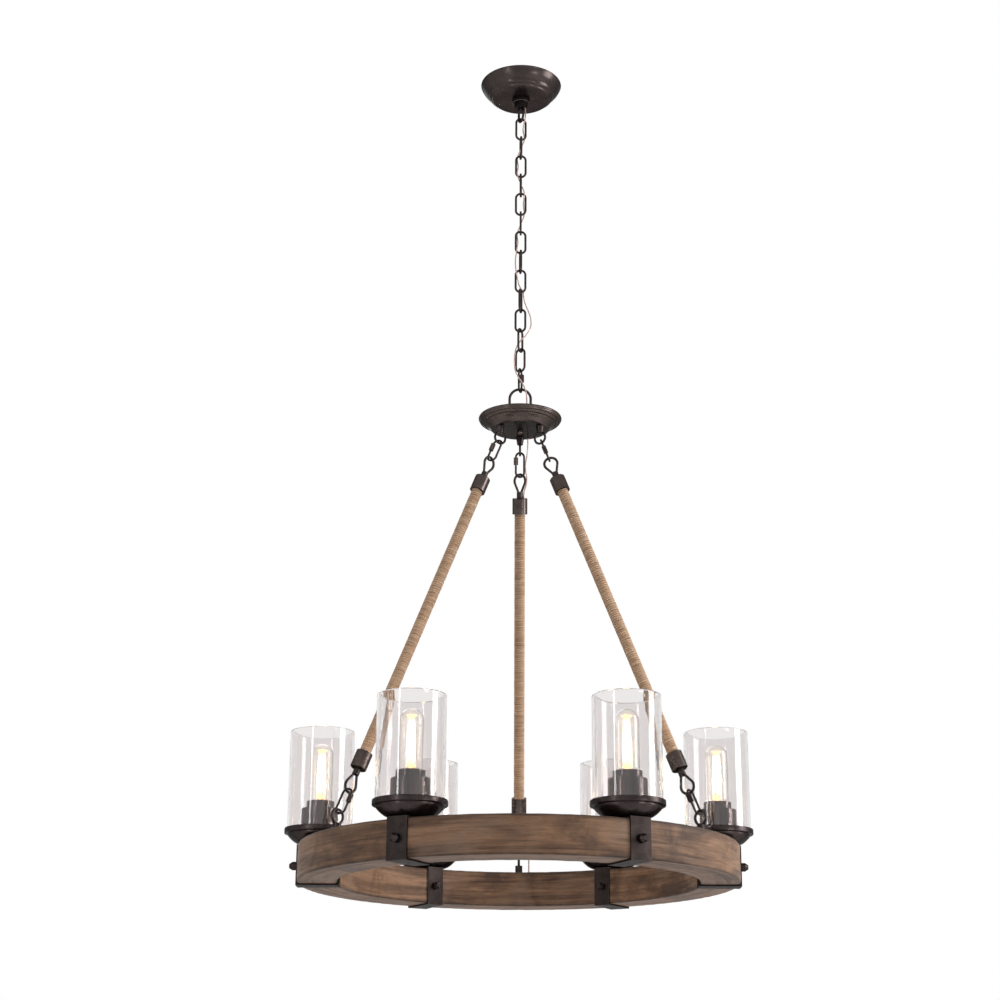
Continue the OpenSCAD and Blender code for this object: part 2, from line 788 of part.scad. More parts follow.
module rod_jute(side) {
    wired = side == 2;
    jute()
        on_line(side, rod_mid_at, 0)
            translate([0, 0, -rod_inner_l / 2])
                difference() {
                    tube(jute_d, rod_tube_d + 2 * thread_gap, rod_inner_l);
                    if (wired)
                        translate([cord_rod_r, 0, -over])
                            cylinder(d = cord_hole_d, h = rod_inner_l + 2 * over);
                }
}

module rod_cap(wired) {
    outer_r = cap_d / 2;
    bore_r = jute_d / 2 + thread_gap;
    hole_r = shank_d / 2 + thread_gap;
    difference() {
        rotate_extrude()
            polygon([
                [hole_r, 0], [outer_r - cap_edge, 0], [outer_r, -cap_edge], [outer_r, -cap_l],
                [bore_r, -cap_l], [bore_r, -cap_end], [hole_r, -cap_end]
            ]);
        if (wired)
            translate([cord_rod_r, 0, -cap_end - over])
                cylinder(d = cord_hole_d, h = cap_end + 2 * over);
    }
}

module rod_caps(side) {
    wired = side == 2;
    bronze() {
        on_line(side, upper_cap_at, 0)
            rod_cap(wired);
        on_line(side, lower_cap_at, 0)
            rotate([0, 180, 0])
                mirror([1, 0, 0])
                    rod_cap(wired);
    }
}

// Pear shaped eye standing on its neck, with its shank below
module pear_eye() {
    foot_z = neck_h - eye_sink;
    centre_z = foot_z + pear_height;
    translate([0, 0, centre_z])
        rotate([90, 0, 0])
            rotate([0, 0, -pear_taper])
                rotate_extrude(angle = 180 + 2 * pear_taper)
                    translate([pear_r, 0])
                        circle(d = pear_wire);
    for (side = [-1, 1])
        translate([side * pear_foot, 0, foot_z])
            rotate([0, side * pear_taper, 0])
                cylinder(d = pear_side_d, h = pear_side + lap);
    translate([0, 0, seat_gap])
        cylinder(d = neck_d, h = neck_h - seat_gap);
    translate([0, 0, seat_gap - shank_l])
        cylinder(d = shank_d, h = shank_l);
}

module rod_eyes(side)
    bronze() {
        on_line(side, upper_cap_at, pear_yaws[side])
            pear_eye();
        on_line(side, lower_cap_at, lower_pear_yaws[side])
            rotate([180, 0, 0])
                pear_eye();
    }

// Wooden ring

module ring_segments()
    wood()
        for (i = [0:lamp_count - 1])
            ring_segment(i);

module ring_segment(i) {
    gap_angle = joint_gap / ring_mid_r * 180 / PI;
    difference() {
        translate([0, 0, wood_z - ring_h])
            rotate([0, 0, i * lamp_step - joint_angle + gap_angle / 2])
                rotate_extrude(angle = lamp_step - gap_angle, $fn = ring_fn)
                    translate([ring_in_r, 0])
                        square([ring_w, ring_h]);
        at_lamp(i) {
            translate([-ring_w / 2 - over, 0, -ring_h / 2])
                rotate([0, 90, 0])
                    cylinder(d = bolt_d + 2 * thread_gap, h = ring_w + 2 * over);
            translate([0, 0, -lamp_nipple_in - seat_gap])
                cylinder(d = nipple_d + 2 * thread_gap, h = lamp_nipple_in + seat_gap + over);
        }
        for (azimuth = rod_azimuths)
            rotate([0, 0, azimuth])
                translate([ring_mid_r, 0, wood_z - lag_l - seat_gap])
                    cylinder(d = lag_d + 2 * thread_gap, h = lag_l + seat_gap + over);
        translate([cord_wood.x, cord_wood.y, wood_z - cord_wood_h])
            cylinder(d = cord_hole_d, h = cord_wood_h + over);
    }
}

module ring_straps() {
    angle = strap_w / ring_mid_r * 180 / PI;
    in_r = ring_in_r - strap_gap;
    out_r = ring_out_r + strap_gap;
    wrap_h = ring_h + 2 * strap_gap;
    bronze()
        difference() {
            for (i = [0:lamp_count - 1])
                translate([0, 0, wood_z - ring_h - strap_gap])
                    rotate([0, 0, i * lamp_step - angle / 2])
                        rotate_extrude(angle = angle, $fn = ring_fn)
                            difference() {
                                translate([in_r - strap_t, -strap_t])
                                    square([out_r - in_r + 2 * strap_t, wrap_h + 2 * strap_t]);
                                translate([in_r, 0])
                                    square([out_r - in_r, wrap_h]);
                            }
            at_lamps() {
                translate([-ring_w / 2 - strap_t - over, 0, -ring_h / 2])
                    rotate([0, 90, 0])
                        cylinder(d = bolt_d + 2 * thread_gap, h = ring_w + 2 * strap_t + 2 * over);
                cylinder(d = nipple_d + 2 * thread_gap, h = strap_gap + strap_t + over);
            }
        }
}

module strap_bolts() {
    face = ring_w / 2 + strap_gap + strap_t + seat_gap;
    bolt_l = 2 * face + bolt_nut_h;
    bronze()
        at_lamps()
            translate([face, 0, -ring_h / 2])
                rotate([0, 90, 0]) {
                    translate([0, 0, -bolt_l])
                        cylinder(d = bolt_d, h = bolt_l);
                    cylinder(d = bolt_head_d, h = bolt_head_h);
                    translate([0, 0, bolt_head_h])
                        cylinder(d1 = bolt_head_d, d2 = bolt_d, h = bolt_dome_h);
                }
}

module strap_nuts() {
    face = ring_w / 2 + strap_gap + strap_t + seat_gap;
    bronze()
        at_lamps()
            translate([-face, 0, -ring_h / 2])
                rotate([0, -90, 0])
                    difference() {
                        union() {
                            hex_prism(bolt_nut_af, bolt_nut_h);
                            translate([0, 0, bolt_nut_h])
                                cylinder(d1 = bolt_nut_af, d2 = bolt_d, h = bolt_dome_h);
                        }
                        translate([0, 0, -over])
                            cylinder(d = bolt_d + 2 * thread_gap, h = bolt_nut_h + over + seat_gap);
                    }
}

module ring_eyes()
    bronze()
        for (side = [0:2])
            rotate([0, 0, rod_azimuths[side]])
                translate([ring_mid_r, 0, ring_eye_z])
                    rotate([0, 0, ring_eye_yaws[side] - rod_azimuths[side]])
                        ring_eye();

module ring_eye() {
    foot = -ring_eye_stand + seat_gap;
    collar_h = ring_eye_stand - ring_eye_d / 2 + eye_sink - seat_gap;
    round_eye(ring_eye_d, ring_eye_wire);
    translate([0, 0, foot]) {
        cylinder(d = ring_eye_collar_d, h = collar_h);
        cylinder(d = ring_eye_flange_d, h = ring_eye_flange_t);
        translate([0, 0, -lag_l])
            cylinder(d = lag_d, h = lag_l);
    }
}

// Lamps

module lamp_cups() {
    rim_r = cup_d / 2;
    bowl_r = cup_bowl_d / 2;
    band_z = cup_bowl_h;
    top = cup_bowl_h + cup_band_h;
    outline = [
        [rim_r, top], [rim_r, band_z + cup_wall / 2], [rim_r - cup_wall / 2, band_z],
        [bowl_r + cup_wall / 2, band_z], [bowl_r, band_z - cup_low_h],
        [bowl_r - cup_low_h, band_z - 2 * cup_low_h], [cup_low_d / 2, cup_low_h],
        [cup_foot_d / 2, 0], [0, 0]
    ];
    bronze()
        at_lamps()
            translate([0, 0, cup_z])
                difference() {
                    rotate_extrude()
                        polygon(sheet(outline, cup_wall, top));
                    translate([0, 0, -over])
                        cylinder(d = nipple_d + 2 * thread_gap, h = cup_wall + 2 * over);
                }
}

module lamp_nipples()
    steel()
        at_lamps()
            translate([0, 0, -lamp_nipple_in])
                tube(nipple_d, nipple_bore, lamp_nipple_l);

module lamp_holders()
    color([0.9, 0.88, 0.83])
        at_lamps()
            difference() {
                translate([0, 0, holder_z])
                    cylinder(d = holder_d, h = holder_h);
                translate([0, 0, socket_z])
                    cylinder(d = bulb_cap_d + 2 * hang_gap, h = socket_depth + over);
                translate([0, 0, holder_z - over])
                    cylinder(d = nipple_d + 2 * thread_gap, h = lamp_nipple_l - lamp_nipple_in - holder_z + over);
            }

module socket_sleeves() {
    ring_r = sleeve_ring_d / 2;
    body_r = sleeve_d / 2;
    top = sleeve_h + sleeve_ring_h;
    bronze()
        at_lamps()
            translate([0, 0, sleeve_z])
                rotate_extrude()
                    polygon([
                        [body_r, 0], [body_r, sleeve_h - sleeve_wall / 2],
                        [body_r - sleeve_wall / 2, sleeve_h], [ring_r, sleeve_h], [ring_r, top],
                        [ring_r - sleeve_wall, top], [ring_r - sleeve_wall, sleeve_h - sleeve_wall],
                        [body_r - sleeve_wall, sleeve_h - sleeve_wall], [body_r - sleeve_wall, 0]
                    ]);
}

module glass_shades() {
    outer_r = shade_d / 2;
    clear_glass()
        at_lamps()
            translate([0, 0, shade_z])
                rotate_extrude()
                    polygon([
                        [shade_hole_d / 2, 0], [outer_r, 0], [outer_r, shade_h],
                        [outer_r - shade_wall, shade_h], [outer_r - shade_wall, shade_wall],
                        [shade_hole_d / 2, shade_wall]
                    ]);
}

module bulb(i)
    at_lamp(i)
        translate([0, 0, bulb_z]) {
            color([0.8, 0.72, 0.5])
                bulb_cap();
            clear_glass()
                bulb_glass();
            color([1, 0.9, 0.6])
                bulb_filaments();
        }

module bulb_cap()
    difference() {
        union() {
            cylinder(d = bulb_cap_d, h = bulb_cap_h);
            translate([0, 0, -bulb_tip_h])
                cylinder(d1 = bulb_cap_d / 3, d2 = bulb_cap_d / 2, h = bulb_tip_h + bulb_wall);
        }
        translate([0, 0, bulb_cap_h - bulb_seat])
            cylinder(d = bulb_neck_d + 2 * thread_gap, h = bulb_seat + over);
    }

// Half outline of the bulb's glass, made smaller all round by inset
module glass_half(inset) {
    low = bulb_cap_h - bulb_seat + seat_gap;
    round_z = bulb_cap_h + bulb_glass_l - bulb_d / 2;
    neck_r = bulb_neck_d / 2 - inset;
    tube_r = bulb_d / 2 - inset;
    polygon([
        [0, low + inset], [neck_r, low + inset], [neck_r, bulb_cap_h],
        [tube_r, bulb_cap_h + bulb_flare_h], [tube_r, round_z], [0, round_z]
    ]);
    intersection() {
        translate([0, round_z])
            circle(r = tube_r);
        translate([0, round_z])
            square([tube_r, tube_r]);
    }
}

module bulb_glass()
    rotate_extrude()
        difference() {
            glass_half(0);
            glass_half(bulb_wall);
        }

module bulb_filaments() {
    foot = bulb_cap_h - bulb_seat + bulb_wall + 2 * seat_gap;
    low = bulb_cap_h + filament_low;
    high = bulb_cap_h + bulb_glass_l - filament_top;
    translate([0, 0, foot])
        cylinder(d = filament_stem_d, h = high - foot);
    for (z = [low, high - filament_disc_t])
        translate([0, 0, z])
            cylinder(d = filament_disc_d, h = filament_disc_t);
    for (i = [0:filament_count - 1])
        rotate([0, 0, i * 360 / filament_count])
            translate([filament_r, 0, low + filament_disc_t / 2])
                cylinder(d = filament_d, h = high - low - filament_disc_t);
}

// Lamp cord

function unit(v) = v / norm(v);

// Point on a smooth curve through four route points, at a share of the way from b to c
function between(a, b, c, d, share) =
    0.5 * (2 * b + (c - a) * share + (2 * a - 5 * b + 4 * c - d) * share * share
        + (3 * b - a - 3 * c + d) * share * share * share);

// Route with two steps between neighbouring points
function smooth(route) =
    let (last = len(route) - 1)
    concat(
        [for (i = [0:last - 1], share = [0, 0.5])
            between(route[max(i - 1, 0)], route[i], route[i + 1], route[min(i + 2, last)], share)],
        [route[last]]
    );

// One ring of the cord's tube, square to the route
function cord_ring(path, i) =
    let (
        last = len(path) - 1,
        ahead = unit(path[min(i + 1, last)] - path[max(i - 1, 0)]),
        across = unit(cross(ahead, [1, 1, 0])),
        aside = cross(ahead, across)
    )
    [for (k = [0:cord_sides - 1])
        path[i] + cord_d / 2 * (across * cos(k * 360 / cord_sides) + aside * sin(k * 360 / cord_sides))];

module lamp_cord() {
    path = concat(smooth(upper_route), smooth(lower_route));
    count = len(path);
    points = [for (i = [0:count - 1]) each cord_ring(path, i)];
    sides = [for (i = [0:count - 2], k = [0:cord_sides - 1])
        let (a = i * cord_sides + k, b = i * cord_sides + (k + 1) % cord_sides)
        each [[a, b, b + cord_sides], [a, b + cord_sides, a + cord_sides]]];
    first = [[for (k = [cord_sides - 1:-1:0]) k]];
    end = [[for (k = [0:cord_sides - 1]) (count - 1) * cord_sides + k]];
    color([0.85, 0.72, 0.68])
        polyhedron(points, concat(sides, first, end));
}

canopy();
ceiling_crossbar();
canopy_nipple();
nipple_locknut();
collar_loop();
collar_nut();
chain_link(0);  // chain_link_01
chain_link(1);  // chain_link_02
chain_link(2);  // chain_link_03
chain_link(3);  // chain_link_04
chain_link(4);  // chain_link_05
chain_link(5);  // chain_link_06
chain_link(6);  // chain_link_07
chain_link(7);  // chain_link_08
chain_link(8);  // chain_link_09
chain_link(9);  // chain_link_10
chain_link(10);  // chain_link_11
chain_link(11);  // chain_link_12
chain_link(12);  // chain_link_13
chain_quick_link();
chain_quick_nut();
hub_bail();
hub_cover();
hub_pan();
hub_screw();
hub_eyes();
hub_nuts();
upper_quick_links();
upper_quick_nuts();
rod_tube(0);  // rod_left_tube
rod_jute(0);  // rod_left_jute
rod_caps(0);  // rod_left_caps
rod_eyes(0);  // rod_left_eyes
rod_tube(1);  // rod_right_tube
rod_jute(1);  // rod_right_jute
rod_caps(1);  // rod_right_caps
rod_eyes(1);  // rod_right_eyes
rod_tube(2);  // rod_back_tube
rod_jute(2);  // rod_back_jute
rod_caps(2);  // rod_back_caps
rod_eyes(2);  // rod_back_eyes
lower_quick_links();
lower_quick_nuts();
ring_segments();
ring_straps();
strap_bolts();
strap_nuts();
ring_eyes();
lamp_cups();
lamp_nipples();
lamp_holders();
socket_sleeves();
glass_shades();
bulb(0);  // bulb_1
bulb(1);  // bulb_2
bulb(2);  // bulb_3
bulb(3);  // bulb_4
bulb(4);  // bulb_5
bulb(5);  // bulb_6
lamp_cord();
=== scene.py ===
"""Looks of the wagon wheel chandelier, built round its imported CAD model.

Sizes are in metres. Only the outlines of spun sheets and the cord's route are in millimetres.
"""

import logging
import math
from dataclasses import dataclass, replace
from enum import Enum
from typing import Any, Callable, Sequence

import bpy
import numpy as np
from mathutils import Matrix, Vector


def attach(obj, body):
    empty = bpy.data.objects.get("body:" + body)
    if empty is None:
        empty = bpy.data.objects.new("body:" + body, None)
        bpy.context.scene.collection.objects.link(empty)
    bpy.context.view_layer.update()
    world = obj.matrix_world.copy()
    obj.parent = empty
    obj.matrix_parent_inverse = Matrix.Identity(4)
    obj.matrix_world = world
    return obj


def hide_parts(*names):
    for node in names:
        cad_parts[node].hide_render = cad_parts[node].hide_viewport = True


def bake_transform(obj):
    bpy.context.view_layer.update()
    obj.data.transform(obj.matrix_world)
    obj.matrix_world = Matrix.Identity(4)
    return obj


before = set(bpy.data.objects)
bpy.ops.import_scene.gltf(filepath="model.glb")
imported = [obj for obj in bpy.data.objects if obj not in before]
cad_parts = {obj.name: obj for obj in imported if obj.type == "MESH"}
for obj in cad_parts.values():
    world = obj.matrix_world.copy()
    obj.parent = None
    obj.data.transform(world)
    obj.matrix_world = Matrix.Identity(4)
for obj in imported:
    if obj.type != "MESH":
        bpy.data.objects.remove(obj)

LOG = logging.getLogger("chandelier")
MM = 0.001
LAMPS = 6
LINKS = 13
RING_R = 282 * MM
WOOD_TOP = -1218 * MM
ROD_EYE_R = 34.5 * MM
ROD_EYE_Z = -608.1 * MM
ROD_TILT = math.radians(22.8132)
SPIN_SIDES = 144
ON_AXIS = 1e-7
SAME_R = 1e-6
USUAL_LOW, USUAL_HIGH = 0.3, 0.7

Colour = tuple[float, float, float]
Point = tuple[float, float, float]
Spot = tuple[float, float]
Profile = Sequence[Spot]
Span = tuple[float, float, float, float]
Mesh = tuple[Sequence[Point], Sequence[Sequence[int]]]


class Slot(Enum):
    """The record's material slots."""

    BRONZE = "bronze"
    STEEL = "steel"
    JUTE = "jute"
    WOOD = "wood"
    GLASS = "glass"
    CERAMIC = "ceramic"
    BULB = "bulb"
    CORD = "cord"


class Side(Enum):
    """The three hanging rods, with the azimuth of each in degrees."""

    LEFT = 210.0
    RIGHT = 330.0
    BACK = 90.0


# Shader trees


@dataclass(frozen=True)
class Grain:
    """A noise: its features in a metre, its octaves, how strong the finer ones are, and its distortion."""

    scale: float
    detail: float = 3.0
    rough: float = 0.5
    twist: float = 0.0


@dataclass(frozen=True)
class Stain:
    """How a value mixes a colour in: from nothing at the first value to a full share at the second."""

    none_at: float
    full_at: float
    share: float


class Tree:
    """A node tree, with short calls that add and join its nodes."""

    def __init__(self, tree: bpy.types.NodeTree) -> None:
        """Empty a tree.

        Args:
            tree: The tree.
        """
        self.tree = tree
        self.tree.nodes.clear()

    def put(self, node: bpy.types.Node, key: Any, value: Any) -> None:
        """Set or join one input.

        Args:
            node: The node that has the input.
            key: The input's name or number.
            value: A socket to join, or a plain value.
        """
        socket = node.inputs[key]
        if isinstance(value, bpy.types.NodeSocket):
            self.tree.links.new(value, socket)
        elif isinstance(value, tuple) and len(value) == 3 and socket.type == "RGBA":
            socket.default_value = (*value, 1.0)
        else:
            socket.default_value = value

    def node(self, kind: str, inputs: dict[Any, Any] | None = None, **props: Any) -> bpy.types.Node:
        """Add a node.

        Args:
            kind: The node's type, without its ShaderNode prefix.
            inputs: Its inputs' values or sockets.
            **props: Its own settings.

        Returns:
            The new node.
        """
        made = self.tree.nodes.new("ShaderNode" + kind)
        for key, value in props.items():
            setattr(made, key, value)
        for key, value in (inputs or {}).items():
            self.put(made, key, value)
        return made

    def math(self, operation: str, a: Any, b: Any = 0.0) -> bpy.types.NodeSocket:
        """Return the result of a math node.

        Args:
            operation: Its operation.
            a: Its first input.
            b: Its second input.

        Returns:
            The result's socket.
        """
        return self.node("Math", {0: a, 1: b}, operation=operation).outputs[0]

    def times(self, a: Any, b: Any) -> bpy.types.NodeSocket:
        """Return a product."""
        return self.math("MULTIPLY", a, b)

    def plus(self, a: Any, b: Any) -> bpy.types.NodeSocket:
        """Return a sum."""
        return self.math("ADD", a, b)

    def parts(self, vector: Any) -> Any:
        """Return the three parts of a vector."""
        return self.node("SeparateXYZ", {0: vector}).outputs

    def vector(self, x: Any, y: Any, z: Any) -> bpy.types.NodeSocket:
        """Return the vector of three parts."""
        return self.node("CombineXYZ", {0: x, 1: y, 2: z}).outputs[0]

    def span(self, value: Any, low: float, high: float, to_low: float,
             to_high: float) -> bpy.types.NodeSocket:
        """Return a value moved from one range to another, and held inside it.

        Args:
            value: The value.
            low: Start of its range.
            high: End of its range.
            to_low: Start of the new range.
            to_high: End of the new range.

        Returns:
            The new value's socket.
        """
        made = self.node("MapRange", {0: value, 1: low, 2: high, 3: to_low, 4: to_high})
        return made.outputs[0]

    def seen(self) -> bpy.types.NodeSocket:
        """Tell rays of the camera, of mirrors and through glass from the others.

        Returns:
            A socket that is 1 for those rays, and 0 for light on the object.
        """
        rays = self.node("LightPath").outputs
        mirrored = self.math("MAXIMUM", rays["Is Glossy Ray"], rays["Is Transmission Ray"])
        return self.math("MAXIMUM", rays["Is Camera Ray"], mirrored)


class ShaderTree(Tree):
    """A material's node tree."""

    def __init__(self, name: str) -> None:
        """Make an empty material.

        Args:
            name: The material's name.
        """
        self.material = bpy.data.materials.new(name)
        self.material.use_nodes = True
        super().__init__(self.material.node_tree)
        self.output = self.tree.nodes.new("ShaderNodeOutputMaterial")

    def mix(self, share: Any, a: Any, b: Any, blend: str = "MIX") -> bpy.types.NodeSocket:
        """Return a mix of two colours.

        Args:
            share: How much of the second colour.
            a: The first colour.
            b: The second colour.
            blend: How they mix.

        Returns:
            The mixed colour's socket.
        """
        made = self.node("Mix", {0: share, 6: a, 7: b}, data_type="RGBA", blend_type=blend)
        return made.outputs[2]

    def stain(self, base: Any, colour: Any, value: Any, stain: Stain) -> bpy.types.NodeSocket:
        """Mix a colour in where a value is.

        Args:
            base: The colour below.
            colour: The stain's colour.
            value: The value.
            stain: How the value mixes it in.

        Returns:
            The mixed colour's socket.
        """
        return self.mix(self.span(value, stain.none_at, stain.full_at, 0.0, stain.share), base, colour)

    def ramp(self, value: Any, places: Sequence[float], colours: Sequence[Colour]) -> bpy.types.NodeSocket:
        """Return the colour that a value has on a ramp.

        Args:
            value: Where on the ramp.
            places: The places of its colours.
            colours: The colours.

        Returns:
            The colour's socket.
        """
        made = self.node("ValToRGB", {0: value})
        band = made.color_ramp
        while len(band.elements) < len(places):
            band.elements.new(0.5)
        for element, place, colour in zip(band.elements, places, colours):
            element.position = place
            element.color = (*colour, 1.0)
        return made.outputs[0]

    def usual(self, value: Any, to_low: float, to_high: float) -> bpy.types.NodeSocket:
        """Return a noise moved from its usual range to another."""
        return self.span(value, USUAL_LOW, USUAL_HIGH, to_low, to_high)

    def noise(self, vector: Any, grain: Grain) -> bpy.types.NodeSocket:
        """Return a noise from about 0 to 1.

        Args:
            vector: Where it is read.
            grain: Its features.

        Returns:
            The noise's socket.
        """
        made = self.node("TexNoise", {"Vector": vector, "Scale": grain.scale, "Detail": grain.detail,
                                      "Roughness": grain.rough, "Distortion": grain.twist})
        return made.outputs[0]

    def cells(self, vector: Any, scale: float) -> Any:
        """Return the outputs of a pattern of cells."""
        return self.node("TexVoronoi", {"Vector": vector, "Scale": scale}).outputs

    def place(self) -> bpy.types.NodeSocket:
        """Return the place on the piece, in its own frame."""
        return self.node("TexCoord").outputs["Object"]

    def map_parts(self) -> Any:
        """Return the parts of the piece's map."""
        return self.parts(self.node("TexCoord").outputs["UV"])

    def bump(self, height: Any, depth: float, under: Any = None) -> bpy.types.NodeSocket:
        """Return a normal that follows a height.

        Args:
            height: The height, from 0 to 1.
            depth: How deep that is in metres.
            under: A normal to start from.

        Returns:
            The normal's socket.
        """
        inputs = {"Height": height, "Distance": depth, "Strength": 1.0}
        if under is not None:
            inputs["Normal"] = under
        return self.node("Bump", inputs).outputs[0]

    def edge_wear(self, radius: float, edge_dot: float = 0.82) -> bpy.types.NodeSocket:
        """Return how near a point is to a sharp edge.

        Args:
            radius: How far from the edge it reaches.
            edge_dot: Cosine between the rounded and the true normal at a full edge.

        Returns:
            A socket from 0 on the flat to 1 at the edge.
        """
        soft = self.node("Bevel", {"Radius": radius}, samples=4).outputs[0]
        flat = self.node("NewGeometry").outputs["Normal"]
        near = self.node("VectorMath", {0: soft, 1: flat}, operation="DOT_PRODUCT").outputs["Value"]
        return self.span(near, 1.0, edge_dot, 0.0, 1.0)

    def principled(self, **inputs: Any) -> bpy.types.Node:
        """Add the main shader and join it to the output.

        Args:
            **inputs: Its inputs, with _ for each space.

        Returns:
            The shader's node.
        """
        named = {key.replace("_", " "): value for key, value in inputs.items()}
        shader = self.node("BsdfPrincipled", named)
        self.put(self.output, "Surface", shader.outputs[0])
        return shader


# Finishes


@dataclass(frozen=True)
class DarkBronze:
    """Oil rubbed bronze on steel: cloudy dark brown, softly shining, rubbed along its edges."""

    name: str = "dark_bronze"
    shadow: Colour = (0.027, 0.0205, 0.02)
    body: Colour = (0.046, 0.0355, 0.0348)
    rubbed: Colour = (0.13, 0.098, 0.08)
    cloud: Grain = Grain(55.0, 5.0, 0.6, 0.6)
    contrast: float = 0.15
    # How much the cloud is squeezed along Z; a small value draws it into upright stripes, which on the
    # sleeve are painted reflections.
    drawn: float = 1.0
    speck: Grain = Grain(950.0, 2.0, 0.6)
    speck_stain: Stain = Stain(0.6, 0.75, 0.35)
    wear: float = 0.45
    wear_radius: float = 0.9 * MM
    wear_span: Span = (0.35, 0.65, 0.25, 1.0)
    smear: Grain = Grain(130.0, 4.0)
    shiny: float = 0.24
    dull: float = 0.4
    peel: Grain = Grain(520.0, 3.0, 0.55)
    peel_depth: float = 0.05 * MM
    metal: float = 0.85
    edge_tint: Colour = (0.16, 0.13, 0.125)
    lacquer: float = 0.07
    lacquer_rough: float = 0.14

    def build(self) -> bpy.types.Material:
        """Make the material.

        Returns:
            The material.
        """
        t = ShaderTree(self.name)
        at = t.place()
        x, y, z = t.parts(at)
        cloud = t.noise(t.vector(x, y, t.times(z, self.drawn)), self.cloud)
        base = t.ramp(cloud, (0.5 - self.contrast, 0.5 + self.contrast), (self.shadow, self.body))
        base = t.stain(base, self.rubbed, t.noise(at, self.speck), self.speck_stain)
        worn = t.times(t.edge_wear(self.wear_radius), t.span(cloud, *self.wear_span))
        base = t.mix(t.times(worn, self.wear), base, self.rubbed)
        gloss = t.usual(t.noise(at, self.smear), self.shiny, self.dull)
        t.principled(Base_Color=base, Metallic=self.metal, Roughness=gloss,
                     Normal=t.bump(t.noise(at, self.peel), self.peel_depth),
                     Specular_Tint=(*self.edge_tint, 1.0), Coat_Weight=self.lacquer,
                     Coat_Roughness=self.lacquer_rough)
        return t.material


@dataclass(frozen=True)
class ZincSteel:
    """Zinc plated steel of the hidden fixings and of the tubes."""

    name: str = "zinc_steel"
    light: Colour = (0.62, 0.61, 0.59)
    dark: Colour = (0.4, 0.4, 0.41)
    places: Spot = (0.3, 0.7)
    cloud: Grain = Grain(90.0, 4.0, 0.6)
    spangles: float = 260.0
    spangle_span: Span = (0.0, 0.8, 0.28, 0.46)
    grit: Grain = Grain(800.0, 2.0)
    grit_depth: float = 0.05 * MM

    def build(self) -> bpy.types.Material:
        """Make the material.

        Returns:
            The material.
        """
        t = ShaderTree(self.name)
        at = t.place()
        base = t.ramp(t.noise(at, self.cloud), self.places, (self.dark, self.light))
        gloss = t.span(t.cells(at, self.spangles)["Distance"], *self.spangle_span)
        t.principled(Base_Color=base, Metallic=1.0, Roughness=gloss,
                     Normal=t.bump(t.noise(at, self.grit), self.grit_depth))
        return t.material


